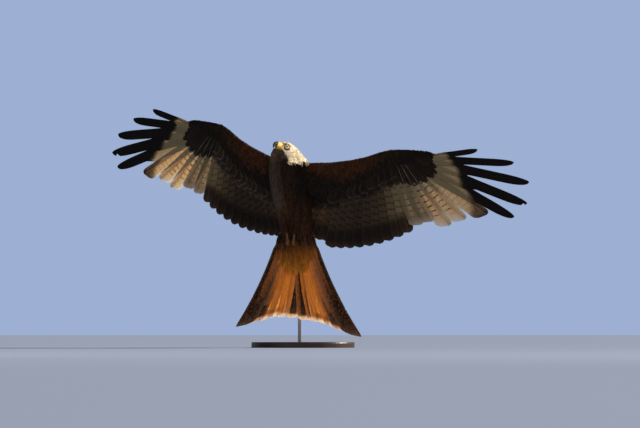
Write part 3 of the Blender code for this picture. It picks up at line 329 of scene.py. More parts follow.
def feather_material(name, ground, dark, pale, rust, fringe, variety, bar_spacing=0.026, bar_width=0.35,
                     grain=(90.0, 90.0, 16.0), grain_share=0.5, glow=0.0):
    """Feather pigment over a matt keratin vane that may let some light through"""
    material, tree, shader = new_material(name)
    blade, marks, lines = [add_node(tree, "ShaderNodeAttribute", attribute_name=part)
                           for part in ("blade", "marks", "lines")]
    along, across, length = add_node(tree, "ShaderNodeSeparateXYZ", (blade.outputs["Vector"],)).outputs
    bars, edge, shaft = add_node(tree, "ShaderNodeSeparateXYZ", (lines.outputs["Vector"],)).outputs
    shares = add_node(tree, "ShaderNodeSeparateColor", (marks.outputs["Color"],)).outputs
    place = add_node(tree, "ShaderNodeTexCoord").outputs["Object"]
    mottle = add_node(tree, NOISE, {"Vector": place, "Scale": MOTTLE_SCALE, "Detail": 3.0, "Roughness": 0.6})
    uneven = add_node(tree, MATH, (mottle, 0.5), operation="SUBTRACT")

    # Each share of pigment breaks up a little where it is neither none nor full
    mottled = []
    for share in shares:
        loose = add_node(tree, MATH, (share, 1.4), operation="MULTIPLY", use_clamp=True)
        loose = add_node(tree, MATH, (loose, uneven), operation="MULTIPLY")
        mottled.append(add_node(tree, MATH, (loose, 0.7, share), operation="MULTIPLY_ADD", use_clamp=True))
    dark_share, pale_share, rust_share = mottled

    # Bars run across the vane, slanting off the shaft and a little wavy
    sides = add_node(tree, MATH, (across,), operation="ABSOLUTE")
    metres = add_node(tree, MATH, (along, length), operation="MULTIPLY")
    slant = add_node(tree, MATH, (sides, BAR_LEAN, metres), operation="MULTIPLY_ADD")
    slant = add_node(tree, MATH, (uneven, BAR_WOBBLE, slant), operation="MULTIPLY_ADD")
    wave = add_node(tree, MATH, (slant, 2 * math.pi / bar_spacing), operation="MULTIPLY")
    wave = add_node(tree, MATH, (wave,), operation="SINE")
    bar = add_node(tree, MATH, (wave, 4.0, -4.0 * math.cos(math.pi * bar_width)),
                   operation="MULTIPLY_ADD", use_clamp=True)
    bar = add_node(tree, MATH, (bar, bars), operation="MULTIPLY")

    # A fringe round the rim, and a shaft that is dark where its mark is above 0, pale where below
    out = add_node(tree, MATH, (sides, 6.0), operation="POWER")
    end = add_node(tree, MATH, (along, 14.0), operation="POWER")
    rim = add_node(tree, MATH, (out, end), operation="MAXIMUM")
    rim = add_node(tree, MATH, (rim, edge), operation="MULTIPLY", use_clamp=True)
    middle = add_node(tree, MATH, (sides, -7.0, 1.0), operation="MULTIPLY_ADD", use_clamp=True)
    dark_shaft = add_node(tree, MATH, (middle, shaft), operation="MULTIPLY", use_clamp=True)
    pale_shaft = add_node(tree, MATH, (shaft, -1.0), operation="MULTIPLY")
    pale_shaft = add_node(tree, MATH, (middle, pale_shaft), operation="MULTIPLY", use_clamp=True)

    colour = layered(tree, ground, (pale_share, pale), (rust_share, rust), (dark_share, dark), (bar, dark),
                     (rim, fringe), (dark_shaft, dark), (pale_shaft, fringe))

    # Feathers differ in shade from one to the next, and fine streaks run along each
    stretch = add_node(tree, "ShaderNodeVectorMath", (place, grain), operation="MULTIPLY")
    streak = add_node(tree, NOISE,
                      {"Vector": stretch, "Scale": STREAK_SCALE, "Detail": 3.0, "Roughness": 0.7})
    shade = add_node(tree, MATH, (marks.outputs["Alpha"], 2 * variety, 1.0 - variety - grain_share),
                     operation="MULTIPLY_ADD")
    shade = add_node(tree, MATH, (uneven, 0.3, shade), operation="MULTIPLY_ADD")
    shade = add_node(tree, MATH, (streak, 2 * grain_share, shade), operation="MULTIPLY_ADD")
    grey = add_node(tree, "ShaderNodeCombineColor", (shade, shade, shade))
    tinted = add_node(tree, MIX, {0: 1.0, 6: colour, 7: grey}, data_type="RGBA", blend_type="MULTIPLY")

    # Barbs lie slantwise off the shaft; real ones are finer, and these just show
    lean = add_node(tree, MATH, (sides, -BARB_LEAN, metres), operation="MULTIPLY_ADD")
    barbs = add_node(tree, MATH, (lean, 2 * math.pi / BARB_SPACING), operation="MULTIPLY")
    barbs = add_node(tree, MATH, (barbs,), operation="SINE")
    relief = add_node(tree, MATH, (barbs, 0.35, mottle), operation="MULTIPLY_ADD")
    bump = add_node(tree, "ShaderNodeBump", {"Strength": 0.35, "Distance": 0.0008, "Height": relief})
    set_inputs(tree, shader, {"Base Color": tinted, "Normal": bump, "Roughness": 0.7,
                              "Specular IOR Level": 0.12, "Subsurface Radius": (1.0, 0.80, 0.62),
                              "Subsurface Scale": 0.004})
    if glow > 0.0:
        # Dark pigment stops the light that comes through a vane
        thin = add_node(tree, MATH, (1.0, dark_share), operation="SUBTRACT", use_clamp=True)
        through = add_node(tree, MATH, (thin, thin), operation="MULTIPLY")
        through = add_node(tree, MATH, (through, glow), operation="MULTIPLY")
        set_inputs(tree, shader, {"Subsurface Weight": through})
    return material


# Primaries: blackish fingers, a grey-buff panel and thin bars; the peach of the inner vanes is painted light
# shining through them
PRIMARY_FINISH = feather_material("primary vane", "#33271f", "#15110f", "#a3936f", "#d8a878", "#f3e6d6",
                                  bar_spacing=0.022, bar_width=0.27, variety=0.15, grain_share=0.25,
                                  glow=0.5)
# Secondaries: dark brown, softly barred, blackish towards the trailing edge
SECONDARY_FINISH = feather_material("secondary vane", "#2b211b", "#0f0c0b", "#8f7e5b", "#7c5230", "#6d584b",
                                    bar_spacing=0.022, bar_width=0.34, variety=0.2, grain_share=0.3,
                                    glow=0.03)
# Underwing coverts: rufous at the leading edge, then blackish brown, all finely streaked
UNDER_FINISH = feather_material("underwing covert", "#211813", "#0d0a08", "#9a866a", "#4e2a10", "#8d7963",
                                bar_spacing=0.013, bar_width=0.3, variety=0.4)
# Upperwing coverts: rufous brown with a pale band and buff fringes
UPPER_FINISH = feather_material("upperwing covert", "#5a4334", "#2a1f1a", "#b79b78", "#96592f", "#c09a70",
                                variety=0.25)
# Tail: orange with painted light shining through, dark outer webs and corners, a pale rim painted as a
# highlight
TAIL_FINISH = feather_material("rufous tail feather vane", "#cc7618", "#0f0b0a", "#f7e4d2", "#f9962e",
                               "#f0d6c2", bar_spacing=0.020, bar_width=0.16, variety=0.3,
                               grain=(170.0, 170.0, 12.0), grain_share=0.8, glow=0.5)
# Contour feathers: dark brown breast, rufous vent, cream head with dark streaks
BODY_FINISH = feather_material("contour feather", "#261912", "#0c0907", "#e6d8ba", "#693715", "#8a6d50",
                               variety=0.45, grain=(150.0, 150.0, 14.0), grain_share=0.7)
print("feather finishes:", [item.name for item in bpy.data.materials])

# %% [markdown]
# A spread wing is close to flat, so each one is laid out first as a flat pattern, out from its wrist and
# up, as on a drawing table. A few angles then turn the arm and the hand, tilt them about the body and
# arch the feathers back. These are the sizes the solids were made from, repeated here, with the inner
# corner of the left wing trimmed a little shorter.

# %% How each wing is held
WRIST_ROOM = 0.10
TURN_ROOM = 0.04
SHOULDER = (-0.300, -0.040)
ELBOW = (-0.160, -0.074)
HAND_LINE = (0.1, -0.022)
BONE_REACH = (1.6, 2.0)
CAMBER = 0.22
PATTERN_ENDS = (-0.40, 0.56)
PATTERN_STEPS = 385
LEFT_WING = {
    "side": 1.0,
    "wrist": (0.2866, -0.022, 0.6472),
    "arm_turn": 0.0,
    "hand_turn": 0.0,
    "arm_tilt": -9.0,
    "hand_tilt": 1.0,
    "curl": 0.6,
    "primary_turns": (0.0,) * 10,
    "primary_stretch": (1.0,) * 10,
    "secondary_turns": (0.0, 0.0),
    "secondary_stretch": (1.0, 1.0),
    "tertial_trim": (0.95, 0.86, 0.80),
    "inner_trim": 0.925,
    "finger_width": 1.0,
}
RIGHT_WING = {
    "side": -1.0,
    "wrist": (-0.2731, 0.178, 0.7444),
    "arm_turn": 19.9,
    "hand_turn": 12.7,
    "arm_tilt": 29.5,
    "hand_tilt": 36.7,
    "curl": 0.1,
    "primary_turns": (3.8, 6.8, 8.8, 10.1, 9.3, 13.6, 12.7, 11.2, 11.0, 11.1),
    "primary_stretch": (0.95, 0.95, 0.95, 0.955, 0.98, 1.044, 1.026, 0.98, 0.95, 1.115),
    "secondary_turns": (0.8, -1.6),
    "secondary_stretch": (0.95, 1.075),
    "tertial_trim": (1.02, 1.04, 1.05),
    "inner_trim": 1.0,
    "finger_width": 1.14,
}

print("wrists stand", LEFT_WING["wrist"][2], "and", RIGHT_WING["wrist"][2], "m above the floor")


# %% From the flat pattern of a wing to its place in space
class Wing:
    """Where the flat pattern of a wing lies in space, for arrays of places"""

    def __init__(self, pose):
        self.pose = pose
        self.side = pose["side"]
        self.wrist = np.array(pose["wrist"])
        self.places = np.linspace(*PATTERN_ENDS, PATTERN_STEPS)
        tilts = self.tilt(self.places)
        step = self.places[1] - self.places[0]
        middle = int(np.argmin(np.abs(self.places)))
        halves = (tilts[1:] + tilts[:-1]) / 2
        self.out = np.concatenate([[0.0], np.cumsum(np.cos(halves) * step)])
        self.deep = np.concatenate([[0.0], np.cumsum(np.sin(halves) * step)])
        self.out -= self.out[middle]
        self.deep -= self.deep[middle]

    def tilt(self, place):
        """The tilt about the body's long axis at a distance out from the wrist"""
        blend = ease(place, -WRIST_ROOM, WRIST_ROOM)
        arm = math.radians(self.pose["arm_tilt"])
        hand = math.radians(self.pose["hand_tilt"])
        return arm + (hand - arm) * blend + self.pose["curl"] * np.clip(place, 0.0, None) ** 2

    def turned(self, out, up):
        """Places of the pattern after arm and hand have turned in the wing's plane"""
        out = np.asarray(out, float)
        up = np.asarray(up, float)
        blend = ease(out, -TURN_ROOM, TURN_ROOM)
        turn = np.radians(self.pose["arm_turn"] + (self.pose["hand_turn"] - self.pose["arm_turn"]) * blend)
        return out * np.cos(turn) - up * np.sin(turn), out * np.sin(turn) + up * np.cos(turn)

    def bone_height(self, out):
        """How high the bones of arm and hand lie at a distance out from the wrist"""
        elbow = self.turned(*ELBOW)
        tip = self.turned(*HAND_LINE)
        inner = elbow[1] * np.minimum(out / elbow[0], BONE_REACH[0])
        outer = tip[1] * np.minimum(out / tip[0], BONE_REACH[1])
        return np.where(out < 0.0, inner, outer)

    def points(self, out, up, rise):
        """Places in space: out from the wrist, up, and dorsally off the wing's plane"""
        tilt = self.tilt(out)
        across = np.interp(out, self.places, self.out)
        deep = np.interp(out, self.places, self.deep)
        droop = CAMBER * (up - self.bone_height(out)) ** 2
        return np.stack([self.wrist[0] + self.side * across - self.side * np.sin(tilt) * rise,
                         self.wrist[1] + deep - droop + np.cos(tilt) * rise,
                         self.wrist[2] + up], axis=-1)


WINGS = {"left": Wing(LEFT_WING), "right": Wing(RIGHT_WING)}
for side_name, wing in WINGS.items():
    print(side_name, "wing tip near", np.round(wing.points(0.4, -0.1, 0.0), 3))

# %% [markdown]
# A kite's wing has ten primaries on the hand, eleven secondaries on the forearm and a few tertials by
# the body, three here. The five outer primaries narrow into free fingers. Root, heading, length and
# width of each follow the same rules as in the solids, so the dressed wing keeps their outline.

# %% The flight feathers of a wing
PRIMARY_FIRST_ROOT = (0.010, -0.013)
PRIMARY_ROOT_STEP = (0.00933, -0.0010)
PRIMARY_LENGTHS = (0.250, 0.253, 0.291, 0.303, 0.341, 0.407, 0.418, 0.396, 0.327, 0.198)
PRIMARY_TURNS = (-68.7, -61.4, -54.6, -45.7, -35.3, -29.2, -21.4, -11.8, -2.6, 8.2)
PRIMARY_HALVES = ((0.016, 0.034), (0.016, 0.034), (0.016, 0.034), (0.017, 0.035), (0.016, 0.034),
                  (0.011, 0.021), (0.011, 0.021), (0.010, 0.020), (0.009, 0.016), (0.006, 0.013))
PRIMARY_FINGERS = (1.0, 1.0, 1.0, 1.0, 1.0, 0.60, 0.50, 0.41, 0.34, 0.42)
SECONDARIES = 11
SECONDARY_FIRST_ROOT = (0.0, -0.012)
SECONDARY_LENGTH = 0.277
SECONDARY_TAPER = 0.00075
SECONDARY_MIDDLE = 5
SECONDARY_FIRST_TURN = -75.9
SECONDARY_TURN_STEP = -3.65
SECONDARY_TURN_EASE = 0.16
SECONDARY_EASE_FROM = 6
INNER_FROM = 9
TERTIALS = 3
TERTIAL_TURN = -108.5
TERTIAL_LENGTH = 0.240
TERTIAL_STEP = 0.012
ARM_HALVES = (0.016, 0.027)
TERTIAL_HALVES = (0.016, 0.024)
VANE_STEP = 0.0014
MOST_ROLL = 0.25
print("longest primary:", max(PRIMARY_LENGTHS), "m")


# %% Tables of the flight feathers, and how they roll clear of each other
def flight_feathers(wing):
    """Every flight feather from the body out: number, root, heading, length, widths, finger"""
    feathers = []
    turns = wing.pose["secondary_turns"]
    stretch = wing.pose["secondary_stretch"]
    for number in range(TERTIALS - 1, -1, -1):
        part = (number + 1) / (TERTIALS + 1)
        root = [first + (last - first) * part for first, last in zip(ELBOW, SHOULDER)]
        length = (TERTIAL_LENGTH - TERTIAL_STEP * number) * stretch[1] * wing.pose["tertial_trim"][number]
        feathers.append((-12 - number, root, TERTIAL_TURN + turns[1], length, *TERTIAL_HALVES, 1.0))
    for number in range(SECONDARIES - 1, -1, -1):
        part = number / (SECONDARIES - 1)
        root = [first + (last - first) * part for first, last in zip(SECONDARY_FIRST_ROOT, ELBOW)]
        turn = SECONDARY_FIRST_TURN + SECONDARY_TURN_STEP * number
        turn += SECONDARY_TURN_EASE * max(0, number - SECONDARY_EASE_FROM) ** 2
        turn += turns[0] + (turns[1] - turns[0]) * part
        length = SECONDARY_LENGTH - SECONDARY_TAPER * (number + 1 - SECONDARY_MIDDLE) ** 2
        length *= stretch[0] + (stretch[1] - stretch[0]) * part
        if number >= INNER_FROM:
            length *= wing.pose["inner_trim"]
        feathers.append((-1 - number, root, turn, length, *ARM_HALVES, 1.0))
    for number in range(len(PRIMARY_LENGTHS)):
        root = [first + step * number for first, step in zip(PRIMARY_FIRST_ROOT, PRIMARY_ROOT_STEP)]
        ahead, behind = PRIMARY_HALVES[number]
        finger = PRIMARY_FINGERS[number]
        if finger < 1.0:
            ahead *= wing.pose["finger_width"]
            behind *= wing.pose["finger_width"]
        feathers.append((number + 1, root, PRIMARY_TURNS[number] + wing.pose["primary_turns"][number],
                         PRIMARY_LENGTHS[number] * wing.pose["primary_stretch"][number], ahead, behind,
                         finger))
    return feathers


def feather_table(wing):
    """The same feathers as arrays, with their roots turned into the wing's pose"""
    rows = flight_feathers(wing)
    roots = np.array([wing.turned(*row[1]) for row in rows])
    numbers, turns, lengths, ahead, behind, fingers = [
        np.array([row[place] for row in rows], float) for place in (0, 2, 3, 4, 5, 6)]
    ways = np.stack([np.cos(np.radians(turns)), np.sin(np.radians(turns))], axis=1)
    return {"number": numbers, "root": roots, "way": ways, "length": lengths, "ahead": ahead,
            "behind": behind, "finger": fingers, "turn": turns}


def roll_of(table, index, down):
    """How far a feather rolls down its shaft, so that it clears its neighbours"""
    out, up = feather_place(table["root"][index], table["way"][index], down, 0.0)
    gaps = []
    for other in (index - 1, index + 1):
        if 0 <= other < len(table["length"]):
            root = table["root"][other]
            way = table["way"][other]
            gaps.append(np.abs((out - root[0]) * way[1] - (up - root[1]) * way[0]))
    return np.minimum(MOST_ROLL, VANE_STEP / np.maximum(sum(gaps) / len(gaps), 1e-4))


TABLES = {name: feather_table(wing) for name, wing in WINGS.items()}
print("flight feathers a wing:", len(TABLES["left"]["length"]))

# %% [markdown]
# Each flight feather is its own blade with a raised shaft, a narrow leading web and a broad trailing
# web. A real vane splits here and there where its barbs unhook, so a few seeded nicks cut its edges.
# The pale panel, the black fingers and the bars are marks worked out from the place in the wing.

# %% Outlines of the flight feathers
BROAD_ALONG = (0.0, 0.10, 0.40, 0.70, 0.86)
BROAD_AHEAD = (0.20, 0.42, 0.90, 1.0, 1.0)
BROAD_BEHIND = (0.20, 0.42, 0.90, 1.0, 1.0)
FINGER_SHARE = (0.0, 0.5, 1.0)
FINGER_AHEAD = (0.35, 0.9, 1.1, 1.0, 0.95, 0.92)
FINGER_BEHIND = (0.35, 1.5, 1.5, 1.0, 0.98, 0.95)
FINGER_STEP = 0.08
TIP_START_BROAD = 0.925
TIP_START_FINGER = 0.78
TIP_SLANT = {1: 0.15, 2: 0.25, 3: 0.40, 4: 0.45, 5: 0.45}
SHAFT_HALF = 0.0011
VANE_HALF = 0.00026
PANEL_LINE = ((-0.30, -0.1660, -0.1270, -0.078, -0.034, 0.05), (0.290, 0.2720, 0.2500, 0.227, 0.203, 0.155))
SHAFT_WIDTH = 0.10
DISH = 0.0008
NICK_DEEP = (0.5, 0.9)
# The notches seen in worn primaries: wing, number, place along, half length, depth
WORN = (("right", 7, 0.94, 0.012, 0.8), ("left", 7, 0.972, 0.008, 0.8), ("right", 3, 0.80, 0.010, 0.5))
rng = np.random.default_rng(RANDOM_SEED)


def web_widths(along, finger):
    """Shares of the half widths ahead of and behind the shaft, along a feather"""
    if finger < 1.0:
        places = [share * finger for share in FINGER_SHARE] + [finger + FINGER_STEP, 0.82, 1.0]
        ahead = np.interp(along, places, FINGER_AHEAD)
        behind = np.interp(along, places, FINGER_BEHIND)
        start = TIP_START_FINGER
    else:
        ahead = np.interp(along, BROAD_ALONG, BROAD_AHEAD)
        behind = np.interp(along, BROAD_ALONG, BROAD_BEHIND)
        start = TIP_START_BROAD
    tip = np.clip((along - start) / (1.0 - start), 0.0, 1.0)
    return ahead * np.sqrt(1.0 - tip ** 2.2), behind * np.sqrt(1.0 - tip ** 2.8)


def nick(along, middle, wide, deep):
    """How far in the edge of a web is cut along a feather"""
    return deep * np.clip(1.0 - np.abs(along - middle) / wide, 0.0, 1.0)


def random_nicks(along, number):
    """A few small seeded splits of a web"""
    depth = np.zeros_like(along)
    for _ in range(number):
        cut = nick(along, rng.uniform(0.45, 0.97), rng.uniform(0.006, 0.012), rng.uniform(0.04, 0.18))
        depth = np.maximum(depth, cut)
    return depth


def vane_half(blade, spread, shaft_share=1.0):
    """Half the thickness over a feather: a thin vane that tapers from a raised shaft"""
    shaft = SHAFT_HALF * np.clip(1.0 - np.abs(spread) / SHAFT_WIDTH, 0.0, 1.0) * (1.0 - 0.85 * blade.along)
    return VANE_HALF * (1.0 - 0.6 * np.abs(spread)) + shaft_share * shaft


print("feathers with a worn notch:", len(WORN))

# %% [markdown]
# Marks are amounts of pigment from 0, none, to 1, full, and are laid by places along a feather, from
# its root, 0, to its tip, 1, and across it, from -1 behind the shaft to 1 ahead. Such amounts could
# be painted on by hand. Rules keep them the same on every feather and easy to tune by eye.

# %% Marks of the flight feathers
def primary_marks(number, along, across, past):
    """Marks of a primary from below: past is the distance beyond the pale panel's edge"""
    marks, lines = blank_marks(len(along))
    trailing = ease(-across, -0.05, 0.25)
    if number >= 6:
        dark = ease(past, -0.010, 0.014)
        marks[:, 0] = np.clip(dark + (1.0 - dark) * (0.24 + 0.26 * (1.0 - trailing)), 0.0, 0.97)
        marks[:, 1] = 1.0 - dark
        marks[:, 2] = 0.10 * (1.0 - dark) * ease(along, 0.15, 0.45) * (number < 8)
    elif number == 5:
        beyond = ease(past, -0.016, 0.014)
        marks[:, 0] = 0.18 * (1.0 - trailing) + 0.45 * beyond + 0.25 * ease(along, 0.93, 1.0)
        marks[:, 1] = (1.0 - beyond) * 0.9
        # Painted light: the rust share stands for light shining through the trailing vane
        marks[:, 2] = 0.75 * ease(along, 0.35, 0.55) * trailing * (1.0 - beyond) + 0.30 * beyond
        lines[:, 0] = 0.35 * trailing * (1.0 - beyond)
    elif number >= 3:
        # Painted light: the peach rust share stands for sunlight shining through these vanes
        glow = ease(along, 0.40, 0.60)
        marks[:, 1] = 0.95
        marks[:, 2] = glow * (0.50 + 0.40 * trailing)
        marks[:, 0] = 0.30 * (1.0 - trailing) * (1.0 - 0.5 * glow)
        marks[:, 0] += 0.22 * ease(along, 0.90, 0.99) * (across > -0.4)
        lines[:, 0] = 0.95 * ease(-across, 0.1, 0.25) * (1.0 - ease(-across, 0.70, 0.85))
        lines[:, 0] *= 1.0 - ease(along, 0.82, 0.88)
        # Painted highlight: the near-white fringe by the tips stands for light catching their trailing edges
        lines[:, 1] = 0.95 * ease(along, 0.70, 0.88) * np.where(across < 0.2, 1.0, 0.3)
    else:
        # Painted shade: these two inner primaries are greyer and darker, as where their coverts keep light
        # from coming through
        tip = ease(along, 0.80, 0.95)
        strip = 1.0 - ease(np.abs(across + 0.45), 0.10, 0.30)
        marks[:, 1] = 0.72 - 0.3 * tip
        marks[:, 2] = 0.15 * tip + 0.30 * ease(along, 0.5, 0.7) * strip
        marks[:, 0] = 0.28 + 0.22 * tip
        lines[:, 0] = 0.8 * (1.0 - ease(np.abs(across + 0.45), 0.15, 0.3)) * (1.0 - tip)
        lines[:, 1] = 0.45 * ease(along, 0.85, 0.95)
    lines[:, 2] = np.where(number <= 5, -0.35, 0.3)
    return marks, lines


def secondary_marks(number, along, across):
    """Marks of a secondary or tertial from below, counted from the wrist in"""
    marks, lines = blank_marks(len(along))
    band = ease(along, 0.70, 0.84)
    outer = np.interp(-number, (1, 2, 3, 5), (1.0, 0.6, 0.22, 0.0))
    inner = np.interp(-number, (8, 11, 14), (0.0, 0.5, 1.0))
    strip = (1.0 - ease(np.abs(across + 0.15), 0.12, 0.32)) * ease(along, 0.45, 0.60)
    marks[:, 0] = np.clip(0.15 + 0.70 * band * (1.0 - 0.5 * outer) - 0.3 * inner * (1.0 - band), 0.0, 1.0)
    marks[:, 1] = np.clip(0.10 + 0.75 * outer * (1.0 - band), 0.0, 1.0)
    marks[:, 2] = np.clip(0.6 * outer * strip + 0.35 * inner, 0.0, 1.0)
    lines[:, 0] = (0.60 - 0.20 * outer) * (1.0 - 0.8 * band)
    lines[:, 1] = 0.14 + 0.30 * ease(along, 0.9, 1.0) + 0.2 * inner
    lines[:, 2] = 0.2
    return marks, lines


def flight_marks(table, index, blade):
    """Dark, pale, rust and shade, then bars, fringe and shaft, of one flight feather"""
    left = TABLES["left"]
    number = table["number"][index]
    along, across = blade.along, blade.across
    out, up = feather_place(left["root"][index], left["way"][index], along * left["length"][index],
                            left["behind"][index] * across)
    past = out - np.interp(up, *PANEL_LINE) + rng.normal(0.0, 0.003)
    if number > 0:
        marks, lines = primary_marks(number, along, across, past)
        above = np.array((0.80, 0.0, 0.10, 0.5))
    else:
        marks, lines = secondary_marks(number, along, across)
        above = np.array((0.45, 0.05, 0.20, 0.5))
    upper = blade.side > 0.0
    own_dark = marks[upper, 0].copy()
    marks[upper] = above
    if 0 < number <= 5:
        marks[upper, 0] = np.maximum(own_dark, 0.42)
    lines[upper] = (0.35, 0.2, 0.3)
    marks[:, 3] = rng.uniform(0.2, 0.8)
    return marks, lines


print("pale panel ends", min(PANEL_LINE[1]), "to", max(PANEL_LINE[1]), "m out from the wrist")

# %% Lay the flight feathers
def build_flight(name, side_name, span, finish, replaces):
    """The flight feathers of a wing whose numbers lie in a span, as one piece"""
    wing, table, blade = WINGS[side_name], TABLES[side_name], FLIGHT_BLADE
    chosen = [index for index, number in enumerate(table["number"]) if span[0] <= number <= span[1]]
    spread = np.sign(blade.across) * np.abs(blade.across) ** 1.5
    made = []
    for index in chosen:
        root, way, length = table["root"][index], table["way"][index], table["length"][index]
        number = int(table["number"][index])
        ahead, behind = web_widths(blade.along, table["finger"][index])
        cut = random_nicks(blade.along, 2 if number < 5 else 0)
        for worn_side, worn_number, middle, wide, deep in WORN:
            if (worn_side, worn_number) == (side_name, number):
                cut = np.maximum(cut, nick(blade.along, middle, wide, deep) * (blade.across < 0))
        cut = cut * ease(np.abs(blade.across), *NICK_DEEP)
        half = np.where(spread > 0, ahead * table["ahead"][index], behind * table["behind"][index])
        reach = spread * half * (1.0 - cut)
        slant = TIP_SLANT.get(number, 0.0) * ease(blade.along, 0.6, 1.0)
        down = blade.along * length + slant * (reach - table["ahead"][index])
        roll = roll_of(table, index, down)
        rise = roll * reach + blade.side * vane_half(blade, spread) - DISH * np.abs(spread) ** 2
        points = wing.points(*feather_place(root, way, down, reach), rise)
        made.append((points, *flight_marks(table, index, blade)))
    return join_blades(name, blade, *map(np.array, zip(*made)), strips(len(made)), finish, replaces)


for side_name in WINGS:
    build_flight("primaries_" + side_name, side_name, (1, 10), PRIMARY_FINISH, ("wing_" + side_name,))
    build_flight("secondaries_" + side_name, side_name, (-14, 0), SECONDARY_FINISH, ())

# %% [markdown]
# The front of a wing is a thick, rounded cushion of small coverts over arm and hand. They lie in rows
# like roof tiles, each row over the roots of the next. The rows are laid in the flat pattern on the
# curved section of that cushion, under and above the wing, larger towards the rear.

# %% The cushion of a wing and its rows of coverts
# Each station: out from the wrist, leading edge, rear edge and half the thickness
CORE_STATIONS = (
    (-0.320, -0.030, -0.170, 0.0125),
    (-0.264, -0.034, -0.160, 0.0125),
    (-0.198, -0.033, -0.150, 0.0120),
    (-0.131, -0.026, -0.135, 0.0110),
    (-0.080, -0.016, -0.115, 0.0100),
    (-0.034, -0.001, -0.090, 0.0090),
    (0.001, 0.007, -0.072, 0.0080),
    (0.031, 0.008, -0.062, 0.0070),
    (0.067, 0.006, -0.052, 0.0060),
    (0.097, 0.003, -0.044, 0.0050),
    (0.125, -0.001, -0.034, 0.0040),
    (0.150, -0.006, -0.024, 0.0022),
)
CORE_SHAPE = ((0.0, 0.03, 0.12, 0.30, 0.55, 0.80, 1.0), (0.0, 0.55, 0.92, 1.0, 0.82, 0.50, 0.20))
CORE_OUT, CORE_LEAD, CORE_REAR, CORE_HALF = np.array(CORE_STATIONS).T


def core_edges(out):
    """How high the cushion's leading edge and its rear lie at a distance out"""
    return np.interp(out, CORE_OUT, CORE_LEAD), np.interp(out, CORE_OUT, CORE_REAR)


def core_share(out, up):
    """How far a place lies from the leading edge, 0, to the cushion's rear, 1"""
    lead, rear = core_edges(out)
    return (lead - up) / (lead - rear)


# The breast muscle runs on under the left wing's root, out to these places, this deep
MUSCLE_OUT = (-0.320, -0.290, -0.265, -0.240, -0.215, -0.190, -0.165)
MUSCLE_DEEP = (0.060, 0.050, 0.036, 0.022, 0.011, 0.004, 0.0)


def muscle(share):
    """The rounded section of the breast muscle, from the leading edge to the rear"""
    return np.sqrt(np.clip(np.sin(math.pi * np.clip(share, 0.0, 1.0)), 0.0, 1.0))


def core_height(out, up, wing=None, face=1.0):
    """Half the cushion's thickness at a place of the unturned pattern, with the muscle below a wing"""
    share = core_share(out, up)
    if wing is WINGS["left"] and face < 0:
        return core_height(out, up) + np.interp(out, MUSCLE_OUT, MUSCLE_DEEP) * muscle(share)
    half = np.interp(out, CORE_OUT, CORE_HALF)
    swell = np.interp(share, *CORE_SHAPE)
    past = np.clip(share - 1.0, 0.0, 1.0)
    return half * swell * (1.0 - 0.6 * past) + 0.0006


def covert_heading(out):
    """The heading of coverts at a distance out, from that of the flight feathers there"""
    return np.interp(out, (-0.32, -0.16, -0.08, 0.0, 0.04, 0.09, 0.15),
                     (-112.0, -108.0, -98.0, -84.0, -70.0, -48.0, -22.0))


# How far back from the leading edge coverts get a pale rim, a painted highlight
RIM_LIGHT_SHARE = 0.05
print("thickest part of a wing's cushion:", round(2000 * CORE_HALF.max(), 1), "mm")


# %% Marks of the small coverts
# How far back from the leading edge the rufous coverts reach, as shares, at distances out
RUFOUS_REACH = ((-0.29, -0.25, -0.20, -0.16, -0.05, 0.03), (0.06, 0.16, 0.36, 0.42, 0.26, 0.10))


def under_marks(out, share):
    """Dark, pale, rust and shade of the underwing by place"""
    count = len(out)
    marks = np.zeros((count, 4))
    hand = ease(out, 0.03, 0.075)
    reach = np.interp(out, *RUFOUS_REACH)
    lesser = 1.0 - ease(share + rng.normal(0.0, 0.05, count), reach - 0.06, reach + 0.12)
    lesser *= 1.0 - 0.75 * ease(out, -0.12, 0.04)
    marks[:, 2] = lesser * rng.uniform(0.5, 1.0, count)
    marks[:, 0] = np.clip((1.0 - lesser) * (0.62 - 0.42 * ease(share, 0.72, 1.0) * (1.0 - hand))
                          + 0.5 * hand + 0.35 * (1.0 - ease(share, 0.0, 0.05)), 0.0, 0.92)
    marks[:, 0] += 0.2 * (1.0 - ease(out, -0.27, -0.20)) * (1.0 - lesser)
    marks[:, 1] = 0.16 * ease(share, 0.65, 1.0) * (1.0 - hand) * ease(out, -0.27, -0.18)
    marks[:, 3] = rng.uniform(0.0, 1.0, count)
    return marks


def upper_marks(out, share):
    """Dark, pale, rust and shade of the upperwing by place"""
    count = len(out)
    marks = np.zeros((count, 4))
    hand = ease(out, 0.0, 0.08)
    band = ease(share, 0.45, 0.65)
    marks[:, 0] = np.clip(0.10 + 0.7 * hand, 0.0, 0.9)
    marks[:, 1] = 0.55 * band * (1.0 - hand)
    marks[:, 2] = 0.65 * (1.0 - band) * (1.0 - 0.6 * hand)
    marks[:, 3] = rng.uniform(0.2, 0.8, count)
    return marks


print("rufous reaches back", max(RUFOUS_REACH[1]), "of the cushion at most")

# %% Rows of small coverts
ROW_COUNT = 19
COVERT_STEP = 0.0062
COVERT_ENDS = (-0.300, 0.128)


